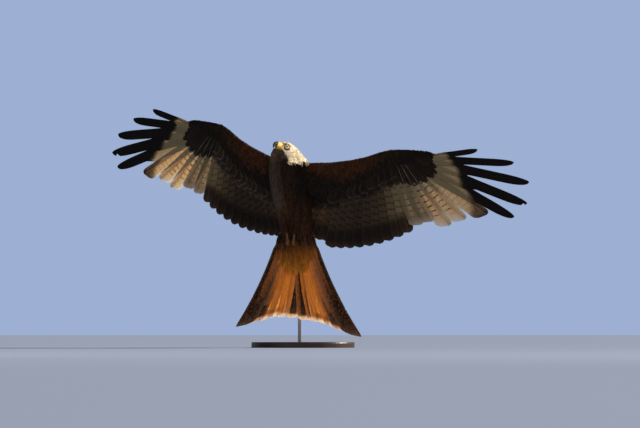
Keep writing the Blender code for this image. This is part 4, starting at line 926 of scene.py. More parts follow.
def covert_rows():
    """Roots and sizes of the small coverts in the flat pattern, before arm and hand turn"""
    roots, sizes = [], []
    for row in range(ROW_COUNT):
        share = 0.030 + 0.90 * (row / (ROW_COUNT - 1)) ** 1.1
        step = COVERT_STEP * (0.70 + 0.75 * share)
        outs = np.arange(COVERT_ENDS[0] + 0.5 * step * (row % 2), COVERT_ENDS[1], step)
        outs = outs + rng.normal(0.0, 0.0009, len(outs))
        lead, rear = core_edges(outs)
        chord = lead - rear
        roots.append(np.stack([outs, lead - chord * share + rng.normal(0.0, 0.0010, len(outs))], axis=1))
        length = np.clip(0.015 + 0.024 * share, 0.010, 0.50 * chord)
        length = length * rng.uniform(0.85, 1.12, len(outs))
        sizes.append(np.stack([length, step * rng.uniform(0.62, 0.80, len(outs))], axis=1))
    return np.concatenate(roots), np.concatenate(sizes)


def small_profile(along):
    """The rounded outline of a small feather"""
    tip = np.clip((along - 0.6) / 0.4, 0.0, 1.0)
    return np.interp(along, (0.0, 0.3, 0.6, 1.0), (0.40, 0.85, 1.0, 1.0)) * np.sqrt(1.0 - 0.92 * tip ** 2)


def pointed_profile(along):
    """The narrow outline of a body feather that ends in a point"""
    return np.interp(along, (0.0, 0.25, 0.55, 0.85, 1.0), (0.55, 0.95, 1.0, 0.62, 0.12))


def covert_points(wing, blade, roots, sizes, face):
    """The places of all points of the coverts on one face of a wing"""
    turn = np.radians(covert_heading(roots[:, 0]) + rng.normal(0.0, 3.0, len(roots)))[:, None]
    reach = blade.across[None] * small_profile(blade.along)[None] * sizes[:, 1:]
    out, up = feather_place((roots[:, :1], roots[:, 1:]), (np.cos(turn), np.sin(turn)),
                            blade.along[None] * sizes[:, :1], reach)
    height = core_height(out, up, wing, face)
    tilt = 0.0005 * blade.across[None] * rng.choice((-1, 1), (len(roots), 1))
    edge = 0.35 + 0.65 * ease(core_share(roots[:, 0], roots[:, 1]), 0.0, 0.15)[:, None]
    lift = -0.0012 + 0.0026 * blade.along[None] * edge + tilt
    rise = face * (height + lift) + 0.00018 * blade.side[None]
    return wing.points(*wing.turned(out, up), rise)


COVERT_ROOTS, COVERT_SIZES = covert_rows()
COVERT_SHARES = core_share(COVERT_ROOTS[:, 0], COVERT_ROOTS[:, 1])
print("small coverts a face:", len(COVERT_ROOTS))

# %% [markdown]
# The skin is the plumed body without its loose outer feathers. Copies of the flesh nodes and a cushion
# for each wing are joined, remeshed to one closed surface without seams, smoothed and drawn in by the
# depth of the coat. The wing cushions follow the stations above, a tail cushion carries the quills,
# and a few oval swellings fill out chin, throat and brows.

# %% Skin of the whole bird
SKIN_VOXEL = 0.0024
SKIN_ROUNDS = 3
COAT_DEPTH = 0.0016
TAIL_ROOT = np.array((-0.0165, 0.0, 0.345))
TAIL_ROLL = math.radians(18.0)
# Each row: down from the tail's root, half the width and half the depth
FAN_BASE = (
    (-0.018, 0.048, 0.0050),
    (-0.003, 0.058, 0.0064),
    (0.026, 0.068, 0.0072),
    (0.056, 0.066, 0.0068),
    (0.078, 0.044, 0.0060),
)
FAN_BASE_MIDDLE = -0.006
# Each row: height, middle, half the width and half the depth
STUMP_SECTIONS = ((0.258, -0.0150, 0.028, 0.0085),
                  (0.275, -0.0152, 0.034, 0.0135), (0.300, -0.0155, 0.038, 0.0190),
                  (0.330, -0.0160, 0.043, 0.027), (0.352, -0.0170, 0.047, 0.033))
BODY_ROLL = math.radians(21.0)
BODY_LEFT = np.array((math.cos(BODY_ROLL), -math.sin(BODY_ROLL), 0.0))
BODY_BACK = np.array((math.sin(BODY_ROLL), math.cos(BODY_ROLL), 0.0))
FAN_NARROW = 0.74
CHIN_PLACE = (13.0, -1.5, -17.5)
CHIN_RADII = (14.0, 9.0, 6.5)
THROAT_PLACE = (14.0, -15.0, -18.0)
THROAT_RADII = (13.0, 12.0, 17.0)
BROW_PLACE = (7.5, 18.0, 5.6)
BROW_RADII = (10.5, 4.6, 2.4)
FLESH = ("head", "neck", "torso", "leg_left", "leg_right", "eye_left", "eye_right")


def tail_places(across, down, rise):
    """Places on the tail's plane, off it towards the back by the rise"""
    left = np.array((math.cos(TAIL_ROLL), -math.sin(TAIL_ROLL), 0.0))
    back = np.array((math.sin(TAIL_ROLL), math.cos(TAIL_ROLL), 0.0))
    across, down, rise = np.broadcast_arrays(across, down, rise)
    return (TAIL_ROOT + left * across[..., None] + back * rise[..., None]
            - np.array((0.0, 0.0, 1.0)) * down[..., None])


def bridge_rings(form, rings):
    """Adds a closed tube to a bmesh through rings of points, with flat ends"""
    loops = []
    for ring in rings:
        verts = [form.verts.new(place) for place in ring]
        loops.append([form.edges.new((one, two)) for one, two in zip(verts, verts[1:] + verts[:1])])
    for lower, upper in zip(loops, loops[1:]):
        bmesh.ops.bridge_loops(form, edges=lower + upper)
    for loop in (loops[0], loops[-1]):
        bmesh.ops.edgeloop_fill(form, edges=loop)


print("solids under the skin:", len(FLESH))

# %% Head terms and the forms that fill out the flesh
HEAD_CENTRE = np.array((-0.0640, -0.0380, 0.6540))
HEAD_FORWARD = np.array((-0.62, -0.64, 0.45))
HEAD_FORWARD /= np.linalg.norm(HEAD_FORWARD)
HEAD_UP = np.cross(HEAD_FORWARD, (0.76, -0.63, 0.17))
HEAD_UP /= np.linalg.norm(HEAD_UP)
HEAD_LEFT = np.cross(HEAD_UP, HEAD_FORWARD)
HEAD_SIZE = 1.12
HEAD_AXES = Matrix((HEAD_FORWARD, HEAD_LEFT, HEAD_UP)).transposed().to_4x4()


def head_point(forward, left, up):
    """A place in head terms, in mm before its size, as a place in the world"""
    return HEAD_CENTRE + 0.001 * HEAD_SIZE * (HEAD_FORWARD * forward + HEAD_LEFT * left + HEAD_UP * up)


def add_swelling(form, place, radii, side):
    """An oval swelling of the head, given in head terms"""
    size = Matrix.Diagonal((*[0.001 * HEAD_SIZE * radius for radius in radii], 1.0))
    spot = Matrix.Translation(head_point(place[0], side * place[1], place[2]))
    bmesh.ops.create_icosphere(form, subdivisions=3, radius=1.0, matrix=spot @ HEAD_AXES @ size)


def add_wing_cushion(form, wing):
    """The section of arm and hand at each station, bridged into one closed form"""
    rings = []
    for out, lead, rear, half in CORE_STATIONS:
        shares, swells = (np.array(part) for part in CORE_SHAPE)
        up = lead + (rear - lead) * np.concatenate([shares, shares[:0:-1]])
        rise = half * np.concatenate([swells, -swells[:0:-1]])
        rings.append(wing.points(*wing.turned(np.full(len(up), out), up), rise))
    bridge_rings(form, rings)


def add_muscle(form):
    """The breast muscle that fills the corner between the breast and the left wing"""
    wing = WINGS["left"]
    shares = np.linspace(0.0, 1.0, 13)
    rings = []
    for out, deep in zip(MUSCLE_OUT[:-1], MUSCLE_DEEP):
        lead, rear = core_edges(out)
        up = lead + (rear - lead) * np.concatenate([shares, shares[-2:0:-1]])
        outs = np.full(len(up), out)
        low = -core_height(outs[:13], up[:13], wing, -1.0)
        rise = np.concatenate([low, np.full(11, 0.004)])
        rings.append(wing.points(*wing.turned(outs, up), rise))
    bridge_rings(form, rings)


def add_tail_cushion(form):
    """The stump of the tail and the flat cushion that holds the quills"""
    angles = np.linspace(0, 2 * math.pi, 20, endpoint=False)
    rings = [np.array((centre, 0.0, height)) + np.outer(wide * np.cos(angles), BODY_LEFT)
             + np.outer(deep * np.sin(angles), BODY_BACK) for height, centre, wide, deep in STUMP_SECTIONS]
    bridge_rings(form, rings)
    square = [np.sign(part) * np.abs(part) ** 0.6 for part in (np.cos(angles), np.sin(angles))]
    bridge_rings(form, [tail_places(FAN_BASE_MIDDLE + FAN_NARROW * wide * square[0], np.full(20, down),
                                    FAN_NARROW * deep * square[1]) for down, wide, deep in FAN_BASE])


print("the head faces", np.round(HEAD_FORWARD, 2))


# %% Make the skin
def remeshed(mesh, voxel, rounds):
    """A mesh made one closed surface of small faces and smoothed, as a new mesh"""
    draft = add_object("draft", mesh)
    surface = draft.modifiers.new("one surface", "REMESH")
    surface.mode = "VOXEL"
    surface.voxel_size = voxel
    draft.modifiers.new("smooth", "SMOOTH").iterations = rounds
    done = bpy.data.meshes.new_from_object(draft.evaluated_get(bpy.context.evaluated_depsgraph_get()))
    bpy.data.objects.remove(draft, do_unlink=True)
    return done


def build_skin():
    """One closed skin for head, neck, body, legs, wings and tail"""
    form = bmesh.new()
    for name in FLESH:
        copy = bmesh.new()
        copy.from_mesh(NODES[name].data)
        bmesh.ops.remove_doubles(copy, verts=copy.verts, dist=1e-6)
        loose = bpy.data.meshes.new("flesh")
        copy.to_mesh(loose)
        copy.free()
        form.from_mesh(loose)
        bpy.data.meshes.remove(loose)
    add_swelling(form, CHIN_PLACE, CHIN_RADII, 1.0)
    add_swelling(form, THROAT_PLACE, THROAT_RADII, 1.0)
    for side in (1.0, -1.0):
        add_swelling(form, BROW_PLACE, BROW_RADII, side)
    for wing in WINGS.values():
        add_wing_cushion(form, wing)
    add_muscle(form)
    add_tail_cushion(form)
    bmesh.ops.recalc_face_normals(form, faces=form.faces)
    mesh = bpy.data.meshes.new("skin")
    form.to_mesh(mesh)
    form.free()
    done = remeshed(mesh, SKIN_VOXEL, SKIN_ROUNDS)
    done.name = "skin"
    return done


skin_mesh = build_skin()
skin_places = np.empty(len(skin_mesh.vertices) * 3, np.float32)
skin_mesh.vertices.foreach_get("co", skin_places)
skin_places = skin_places.reshape(-1, 3).astype(float)
skin_normals = np.array([vert.normal for vert in skin_mesh.vertices])
skin_places -= skin_normals * COAT_DEPTH
skin_mesh.vertices.foreach_set("co", skin_places.astype(np.float32).ravel())
skin_mesh.update()
print("skin faces:", len(skin_mesh.polygons))

# %% [markdown]
# Skin and coat carry the same markings, so both ask the same rule. It knows the bird by places: a
# cream head with a streaked nape, a dusky throat and breast, a rufous belly and vent, a brown back.
# Painted shade darkens throat, brow and the side under the left wing, and painted rim light pales the
# far flank. The answer is four shares: dark, pale, rust and a shade.

# %% The markings of head and body by place
def head_places(points):
    """Places in head terms: forward, left and up of its centre, in mm before its size"""
    away = (np.asarray(points) - HEAD_CENTRE) / (0.001 * HEAD_SIZE)
    return np.stack([away @ HEAD_FORWARD, away @ HEAD_LEFT, away @ HEAD_UP], axis=-1)


EYE_RADIUS = 0.0094
EYE_PLACE = (5.0, 16.6, -2.4)
EYE_AXIS = (0.57, 0.81, -0.16)
LORE_PLACE = (14.0, 11.0, 4.0)


def eye_distance(points):
    """How far places are from the nearer eye, in metres"""
    forward, left, up = EYE_PLACE
    return np.min([np.linalg.norm(points - head_point(forward, side * left, up), axis=1)
                   for side in (1.0, -1.0)], axis=0)


def body_marks(points, normals, loose=0.0):
    """Dark, pale, rust and shade at places of the body, with borders made uneven by loose"""
    points = np.atleast_2d(points)
    forward, left, up = head_places(points).T
    away = np.linalg.norm(points - HEAD_CENTRE, axis=1)
    back = normals @ BODY_BACK
    height = points[:, 2]
    # Chin and throat keep no cream, further over the right side: partly their own darker streaked grey,
    # mostly painted shade
    chin = 1.0 - ease(np.where(left > 0, left, -0.45 * left) + 800.0 * loose, 7.5, 11.0)
    chin *= 1.0 - ease(up, -12.5, -8.5)
    shaded = ease(-normals[:, 1], 0.0, 0.3) * (left < -6.0) * (forward < 8.0)
    shaded = np.maximum(shaded, (left < 2.0) * (1.0 - ease(up, -14.0, -8.0)))
    chin = np.maximum(chin, shaded)
    collar = 0.606 + 0.14 * np.clip(points[:, 0] + 0.049, -0.02, 0.06)
    hood = ease(height + loose, collar - 0.003, collar + 0.004)
    hood *= 1.0 - ease(away, 0.088, 0.102)
    cream = hood * (1.0 - chin)
    ring = 1.0 - ease(eye_distance(points), 0.0090, 0.0102)
    # Painted shadow under the brow, above the eye
    brow_shadow = (1.0 - ease(eye_distance(points), 0.0125, 0.0155)) * ease(up, 1.0, 5.0)
    lore = np.linalg.norm(np.stack([forward, np.abs(left), up], axis=1) - LORE_PLACE, axis=1)
    lore = 1.0 - ease(lore, 4.5, 8.0)
    crown = ease(up, 14.0, 22.0) * hood
    belly = 1.0 - ease(height, 0.40, 0.56)
    vent = 1.0 - ease(height, 0.32, 0.41)
    dorsal = ease(back, -0.1, 0.4)
    olive = chin * ease(height, 0.610, 0.630)
    # Painted light: the flank that faces -x is paler and less dark, as the sky lights its rim
    flank_rim_light = ease(-normals[:, 0], 0.15, 0.75) * ease(height, 0.40, 0.48) * (1.0 - dorsal)
    top = ease(height, 0.572, 0.600) * ease(points[:, 0], 0.000, 0.022)
    marks = np.zeros((len(points), 4))
    rust = (0.16 + 0.30 * belly + 0.25 * vent + 0.30 * olive) * (1.0 - dorsal) + 0.45 * dorsal
    marks[:, 2] = np.clip(rust, 0.0, 1.0) * (1.0 - cream) + 0.4 * lore * cream
    marks[:, 2] = np.maximum(marks[:, 2], 0.75 * top * (1.0 - cream))
    marks[:, 1] = np.clip(cream * (1.0 - 0.35 * crown) + 0.17 * olive + 0.10 * flank_rim_light, 0.0, 1.0)
    chest = ease(height, 0.47, 0.56) * (1.0 - ease(height, 0.60, 0.625))
    # Painted shade: the breast darkens towards +x, the side held under the left wing
    side_shade = ease(points[:, 0] + 0.25 * (0.6 - height), -0.05, 0.0)
    # Painted shadow of the left wing over the body's side near the shoulder
    wing_shadow = ease(points[:, 0], -0.036, -0.012) * ease(height, 0.46, 0.52)
    dark = (0.30 + 0.22 * side_shade) * (1.0 - vent) + 0.22 * chest + 0.45 * wing_shadow
    dark *= (1.0 - cream) * (1.0 - dorsal) * (1.0 - 0.75 * top)
    marks[:, 0] = np.clip(np.maximum(dark - 0.25 * flank_rim_light, np.maximum(0.9 * ring, 0.85 * brow_shadow)), 0.0, 0.92)
    marks[:, 3] = 0.5
    return marks


skin_marks = body_marks(skin_places, skin_normals)
skin_object = add_piece("skin", skin_mesh, BODY_FINISH,
                        ("head", "neck", "torso", "leg_left", "leg_right", "tail"))
skin_mesh.attributes.new("marks", "FLOAT_COLOR", "POINT").data.foreach_set(
    "color", skin_marks.astype(np.float32).ravel())
skin_mesh.shade_smooth()
print("mean of dark, pale, rust and shade:", np.round(skin_marks.mean(axis=0), 2))

# %% [markdown]
# Every feather needs a patch for its baked colour, at its root's place on a flat layout of the skin.
# The skin is unwrapped once by its own shape, and a search tree finds the skin under each root.

# %% Unwrap the skin and find places on it
bpy.context.view_layer.objects.active = skin_object
skin_object.select_set(True)
bpy.ops.object.mode_set(mode="EDIT")
bpy.ops.mesh.select_all(action="SELECT")
bpy.ops.uv.smart_project(angle_limit=math.radians(70.0), island_margin=0.002)
bpy.ops.object.mode_set(mode="OBJECT")
skin_mesh.uv_layers[0].name = "OFBake"
skin_uv = np.empty(len(skin_mesh.loops) * 2, np.float32)
skin_mesh.uv_layers[0].data.foreach_get("uv", skin_uv)
skin_uv = skin_uv.reshape(-1, 2)
skin_starts = np.empty(len(skin_mesh.polygons), np.int32)
skin_mesh.polygons.foreach_get("loop_start", skin_starts)
SKIN_TREE = BVHTree.FromPolygons([tuple(place) for place in skin_places],
                                 [tuple(face.vertices) for face in skin_mesh.polygons])


def skin_patches(points):
    """Each root's patch on the skin's layout"""
    patches = np.empty((len(points), 4))
    for index, point in enumerate(points):
        face = SKIN_TREE.find_nearest(point)[2]
        patches[index, :2] = skin_uv[skin_starts[face]]
    patches[:, 2:] = PATCH
    patches[:, :2] = np.clip(patches[:, :2] - PATCH / 2, 0.0, 1.0 - PATCH)
    return patches


def drape(points, heights):
    """Brings places down to the skin, each at its own height over it"""
    flat = points.reshape(-1, 3)
    lifted = np.empty_like(flat)
    rises = np.broadcast_to(heights, points.shape[:-1]).ravel()
    for index, point in enumerate(flat):
        place, normal, _, _ = SKIN_TREE.find_nearest(point)
        lifted[index] = place + normal * rises[index]
    return lifted.reshape(points.shape)


print("skin layout corners:", len(skin_uv))

# %% [markdown]
# The coverts are laid now: nineteen rows on each face of each cushion, then greater and median
# coverts over the bases of the flight feathers. Below, those of the hand are blackish and make the
# dark comma at the wrist that marks a kite from afar. Under the left wing's root the breast muscle
# swells, so the body's own feathers cover that place and the coverts start past it.

# %% Lay the wing coverts
GREATER_SHOWN_ARM = 0.044
GREATER_SUNK = 0.030
GREATER_RISE = 0.0040
# How far the primary coverts reach from the roots of the primaries, which draws the dark comma
COMMA_REACH = (0.104, 0.112, 0.118, 0.122, 0.121, 0.112, 0.092, 0.068, 0.047, 0.034)
MEDIAN_SHOWN = 0.020
MEDIAN_RISE = 0.0054
MUSCLE_CLEAR = -0.236
COVERT_ARCH = 0.0008
COVERT_HALF = 0.0003
# The right wing catches more light, so its fringes show more
GREATER_EDGE = {"left": 0.30, "right": 0.65}


def build_coverts(name, side_name, face, rule, finish):
    """The small coverts on one face of a wing"""
    wing = WINGS[side_name]
    blade = SMALL_BLADE
    chosen = COVERT_ROOTS[:, 0] > (MUSCLE_CLEAR if side_name == "left" and face < 0 else -1.0)
    spots, sizes = COVERT_ROOTS[chosen], COVERT_SIZES[chosen]
    points = covert_points(wing, blade, spots, sizes, face)
    marks = rule(spots[:, 0], COVERT_SHARES[chosen])
    # Painted shade: under the left wing the inner coverts are darker, as that wing's underside lies in shade
    if side_name == "left" and face < 0:
        inner = (1.0 - ease(spots[:, 0], -0.23, -0.06)) * ease(COVERT_SHARES[chosen], 0.12, 0.4)
        marks[:, 0] = np.maximum(marks[:, 0], 0.85 * inner)
    marks = np.repeat(marks[:, None], blade.size, axis=1)
    # Painted highlight: the first coverts at the arm's leading edge get a pale rim where light catches the
    # edge
    edge = (COVERT_SHARES[chosen] < RIM_LIGHT_SHARE) & (spots[:, 0] < 0.02)
    rim = edge[:, None] * (1.0 - ease(blade.along, 0.0, 0.3))[None]
    marks[..., 0] *= 1.0 - rim
    marks[..., 2] *= 1.0 - rim
    marks[..., 1] = np.maximum(marks[..., 1], rim)
    lines = np.zeros((len(points), blade.size, 3))
    lines[..., 1] = 0.35 if face > 0 else 0.12
    lines[..., 2] = 0.25
    roots = wing.points(*wing.turned(*spots.T), face * core_height(*spots.T))
    return join_blades(name, blade, points, marks, lines, skin_patches(roots), finish)


print("dark comma reaches", max(COMMA_REACH), "m from the roots of the primaries")


# %% Greater and median coverts
def core_exit(wing, table):
    """How far along each flight feather the cushion ends"""
    rear = wing.turned(CORE_OUT, CORE_REAR)
    order = np.argsort(rear[0])
    reaches = np.arange(0.0, 0.4, 0.002)
    exits = []
    for root, way in zip(table["root"], table["way"]):
        out = root[0] + way[0] * reaches
        up = root[1] + way[1] * reaches
        past = (out > rear[0].max()) | (up < np.interp(out, rear[0][order], rear[1][order]))
        exits.append(reaches[np.argmax(past)])
    return np.array(exits)


def greater_marks(face, number, blade, edge):
    """Marks of a greater or median covert: grey brown on the arm, blackish on the hand"""
    marks, lines = blank_marks(blade.size)
    arm = number <= 0
    if face < 0:
        marks[:, 0] = rng.uniform(0.15, 0.6) if arm else rng.uniform(0.10, 0.40)
        marks[:, 1] = 0.10 + 0.22 * ease(blade.along, 0.75, 1.0) if arm else 0.0
        lines[:, 0] = 0.6 if arm else 0.0
        lines[:, 1] = edge * rng.uniform(0.3, 1.0) if arm else 0.12
        lines[:, 2] = 0.3 if arm else (-0.8 if number <= 3 else -0.1)
    else:
        marks[:, 0] = 0.30 if arm else 0.85
        marks[:, 1] = 0.35 * ease(blade.along, 0.5, 1.0) if arm else 0.0
        lines[:, 1] = 0.6 if arm else 0.1
    marks[:, 3] = rng.uniform(0.2, 0.8)
    return marks, lines


def build_greater(name, side_name, face, finish):
    """Greater and median coverts over the bases of the flight feathers, on one face"""
    wing, table, blade = WINGS[side_name], TABLES[side_name], LONG_BLADE
    exits = core_exit(wing, table)
    left_exits = core_exit(WINGS["left"], TABLES["left"])
    made = []
    for index, number in enumerate(table["number"]):
        if number > 0:
            comma = COMMA_REACH[int(number) - 1]
            tiers = ((comma, comma - 0.5 * left_exits[index] + GREATER_SUNK, GREATER_RISE, 0.0, 0.80),
                     (comma - 0.026, 0.040, MEDIAN_RISE, 0.0, 0.75))
        else:
            greater = exits[index] + GREATER_SHOWN_ARM
            shown = exits[index] + MEDIAN_SHOWN
            tiers = ((greater, GREATER_SUNK + GREATER_SHOWN_ARM, GREATER_RISE, 0.0, 0.72),
                     (shown, 0.046, MEDIAN_RISE, 0.5, 0.62),
                     (shown + 0.003, 0.046, MEDIAN_RISE - 0.0004, -0.1, 0.62))
        for end, length, height, shift, width in tiers:
            end = max(end, 0.010) * rng.uniform(0.97, 1.03)
            length = min(length, end)
            down = end - length + length * blade.along
            roll = roll_of(table, index, down)
            apart = np.clip(VANE_STEP / roll, 0.007, 0.026)
            half = np.clip(width * apart, 0.006, 0.0165) * small_profile(blade.along)
            reach = blade.across * half + shift * apart
            arch = COVERT_ARCH * (1.0 - blade.across ** 2)
            rise = face * (height + arch) + roll * reach + COVERT_HALF * blade.side
            points = wing.points(*feather_place(table["root"][index], table["way"][index], down, reach), rise)
            marks, lines = greater_marks(face, number, blade, GREATER_EDGE[side_name])
            # Painted shade: the left wing's greater coverts on the arm are darker below
            if side_name == "left" and face < 0 and number <= 0:
                marks[:, 0] = np.clip(marks[:, 0] + 0.35, 0.0, 0.95)
            made.append((points, marks, lines))
    points, marks, lines = map(np.array, zip(*made))
    return join_blades(name, blade, points, marks, lines, skin_patches(points[:, 0]), finish)


for side_name in WINGS:
    build_coverts("under_coverts_" + side_name, side_name, -1.0, under_marks, UNDER_FINISH)
    build_coverts("upper_coverts_" + side_name, side_name, 1.0, upper_marks, UPPER_FINISH)
    build_greater("greater_under_coverts_" + side_name, side_name, -1.0, UNDER_FINISH)
    build_greater("greater_upper_coverts_" + side_name, side_name, 1.0, UPPER_FINISH)

# %% [markdown]
# The tail is a forked fan of twelve feathers, the outer ones longest and with a dark outer web and
# corner. Below it glows orange where light comes through, partly painted into its colour, and its pale
# rim is a painted highlight.

# %% Sizes and marks of the tail feathers
TAIL_LENGTHS = (0.256, 0.264, 0.280, 0.306, 0.336, 0.366)
TAIL_TURNS = {1.0: (4.6, 12.8, 19.9, 25.2, 29.7, 34.0), -1.0: (5.6, 13.4, 20.5, 26.3, 32.2, 36.6)}
TAIL_STRETCH = {1.0: 1.025, -1.0: 0.945}
TAIL_SPREAD = {1.0: 0.0565, -1.0: 0.0705}
TAIL_ROOT_DOWN = -0.010
TAIL_FIRST_HEADING = 19.0
TAIL_BEND = 0.5
TAIL_OUTER_HALVES = (0.020, 0.018, 0.016, 0.015, 0.014, 0.013)
TAIL_INNER_HALVES = (0.022, 0.024, 0.027, 0.030, 0.033, 0.037)
TAIL_LAYER = 0.00115
TAIL_TOP_LAYER = 0.0029
TAIL_SLANT = (0.05, 0.30, 0.60, 0.90, 1.05, 1.05)
TAIL_TRIM = {1.0: (0.970, 0.985, 1.0, 1.0, 1.0, 1.0), -1.0: (1.026, 1.012, 1.0, 1.0, 1.0, 1.0)}
TAIL_WEB_ALONG = (0.0, 0.3, 0.6, 1.0)
TAIL_OUTER_WEB = (0.85, 0.95, 1.0, 0.90)
TAIL_INNER_WEB = (0.4, 0.85, 1.0, 0.95)
TAIL_NUMBERS = (0, 1, 2, 3, 4, 5)
TAIL_DARK = (0.72, 0.36, 0.08, 0.16, 0.64, 0.85)
# How much painted light shines through each feather's vane, from the middle out
TAIL_PAINTED_GLOW = (0.15, 0.65, 0.95, 0.75, 0.45, 0.15)
TAIL_STREAKS = 5


def tail_marks(number, along, spread):
    """Marks of a tail feather from below: spread is below 0 on its inner web"""
    marks, lines = blank_marks(len(along))
    far = ease(along, 0.35, 0.75)
    corner = ease(along, 0.74, 0.88)
    web = ease(spread, -0.12, 0.05)
    marks[:, 0] = np.interp(number, TAIL_NUMBERS, TAIL_DARK) * (0.45 + 0.55 * far)
    if number == 0:
        marks[:, 0] = 0.42 * (1.0 - ease(np.abs(spread), 0.15, 0.7)) + 0.64
    if number == 4:
        marks[:, 0] += 0.6 * corner + 0.30 * web
    if number == 5:
        marks[:, 0] = 0.70 + 0.24 * far + 0.45 * web + 0.30 * corner
    for _ in range(TAIL_STREAKS if number in (1, 2, 3, 4) else 2):
        streak = np.exp(-((spread - rng.uniform(-0.9, 0.9)) / rng.uniform(0.05, 0.16)) ** 2)
        begins = rng.uniform(0.1, 0.6)
        marks[:, 0] += rng.uniform(0.15, 0.45) * streak * ease(along, begins, begins + 0.25)
    spot = ease(along, 0.86, 0.90) * (1.0 - ease(along, 0.92, 0.95))
    marks[:, 0] += 0.35 * spot * (number in (2, 3, 4)) * (spread < 0.3)
    marks[:, 0] = np.clip(marks[:, 0], 0.0, 0.98)
    # Painted highlight: the pale rim at the tips stands for sunlight catching them
    rim = ease(along, 0.930, 0.970)
    marks[:, 1] = rim * np.interp(number, (0, 3, 4, 5), (0.85, 0.95, 0.7, 0.25)) + 0.12 * (number == 5)
    for _ in range(TAIL_STREAKS if number in (1, 2, 3) else 1):
        streak = np.exp(-((spread - rng.uniform(-0.9, 0.9)) / rng.uniform(0.05, 0.14)) ** 2)
        begins = rng.uniform(0.45, 0.75)
        marks[:, 1] += rng.uniform(0.2, 0.5) * streak * ease(along, begins, begins + 0.2)
    marks[:, 1] = np.clip(marks[:, 1], 0.0, 1.0)
    marks[:, 0] *= 1.0 - 0.85 * rim * (number < 5)
    # Painted light: the rust share stands for light shining through the vanes, most in the middle feathers
    # and towards the tips
    marks[:, 2] = np.interp(number, TAIL_NUMBERS, TAIL_PAINTED_GLOW) * (1.0 - rim) * (0.35 + 0.65 * far)
    marks[:, 3] = rng.uniform(0.2, 0.8)
    lines[:, 0] = 0.7 * (spread < -0.25) * (number >= 4) * (1.0 - ease(along, 0.55, 0.70))
    lines[:, 1] = 0.12
    lines[:, 2] = 0.3
    return marks, lines


print("longest tail feather:", max(TAIL_LENGTHS), "m")


# %% Lay the tail feathers
def tail_feather(side, number, blade):
    """Points and marks of one tail feather, counted from the middle out"""
    turn = math.radians(TAIL_TURNS[side][number])
    length = TAIL_LENGTHS[number] * TAIL_STRETCH[side] * TAIL_TRIM[side][number]
    share = (number + 0.5) / len(TAIL_LENGTHS)
    root = np.array((side * TAIL_SPREAD[side] * share, TAIL_ROOT_DOWN))
    tip = np.array((side * math.sin(turn), math.cos(turn))) * length
    first = math.radians(TAIL_FIRST_HEADING * share)
    first = np.array((side * math.sin(first), math.cos(first)))
    bend = root + first * TAIL_BEND * np.linalg.norm(tip - root)
    part = blade.along[:, None]
    middle = (1 - part) ** 2 * root + 2 * part * (1 - part) * bend + part ** 2 * tip
    way = (1 - part) * (bend - root) + part * (tip - bend)
    way /= np.linalg.norm(way, axis=1, keepdims=True)
    outward = np.stack([side * way[:, 1], -side * way[:, 0]], axis=1)
    spread = np.sign(blade.across) * np.abs(blade.across) ** 1.5
    end = np.clip((blade.along - 0.955) / 0.045, 0.0, 1.0)
    base = ease(blade.along, -0.05, 0.12)
    outer = np.interp(blade.along, TAIL_WEB_ALONG, TAIL_OUTER_WEB) * np.sqrt(1 - 0.55 * end ** 2)
    inner = np.interp(blade.along, TAIL_WEB_ALONG, TAIL_INNER_WEB) * np.sqrt(1 - 0.80 * end ** 2)
    cut = random_nicks(blade.along, 3) * ease(np.abs(blade.across), *NICK_DEEP)
    half = base * np.where(spread > 0, outer * TAIL_OUTER_HALVES[number], inner * TAIL_INNER_HALVES[number])
    reach = spread * half * (1.0 - cut)
    lean = TAIL_SLANT[number] * (reach - 0.3 * TAIL_OUTER_HALVES[number]) * ease(blade.along, 0.5, 1.0)
    place = middle + outward * reach[:, None] + way * lean[:, None]
    layer = TAIL_TOP_LAYER - TAIL_LAYER * number + (TAIL_LAYER if number == 0 and side < 0 else 0.0)
    rise = layer + blade.side * vane_half(blade, spread, 0.7)
    return tail_places(place[:, 0], place[:, 1], rise), *tail_marks(number, blade.along, spread)


def build_tail():
    """The twelve tail feathers as one piece"""
    made = [tail_feather(side, number, FLIGHT_BLADE) for side in (1.0, -1.0) for number in TAIL_NUMBERS]
    return join_blades("tail_feathers", FLIGHT_BLADE, *map(np.array, zip(*made)), strips(len(made)),
                       TAIL_FINISH)


build_tail()

# %% [markdown]
# Long soft tail coverts hide the quills on both sides, in rows that spread like the fan. Below they are
# rufous, painted nearly black with shade at the vent, and end as orange as the tail itself where painted
# light shines through, with fine dark shafts.

# %% The coverts of the tail
# Each row: how far down it starts, how far it spreads to each side, length of its feathers
TAIL_COVERT_ROWS = ((-0.034, 0.056, 0.055), (-0.018, 0.060, 0.058), (-0.002, 0.058, 0.056),
                    (0.014, 0.053, 0.054), (0.030, 0.046, 0.052), (0.044, 0.038, 0.050),
                    (0.056, 0.030, 0.046))
TAIL_COVERT_STEP = 0.0058
TAIL_COVERT_HALF = 0.0050
FAN_SPREAD = 4.2
RAY_START = 0.15
CLEAR_HEIGHT = 0.0014
FAN_OUT, FAN_DEEP = np.array(FAN_BASE)[:, (0, 2)].T
# How dark the first tail coverts are, below and above; below it is painted shade under the body
VENT_DARK = {-1.0: 0.985, 1.0: 0.40}


def clear_of_skin(across, down, rise, face):
    """Rises on the tail's plane, pushed out where the skin stands higher"""
    places = tail_places(across, down, np.full(len(across), face * RAY_START))
    inward = Vector(tail_places(0.0, 0.0, -face) - tail_places(0.0, 0.0, 0.0))
    clear = rise.copy()
    for index, place in enumerate(places):
        distance = SKIN_TREE.ray_cast(Vector(place), inward)[3]
        if distance is not None:
            clear[index] = max(rise[index], RAY_START - distance + CLEAR_HEIGHT)
    return clear


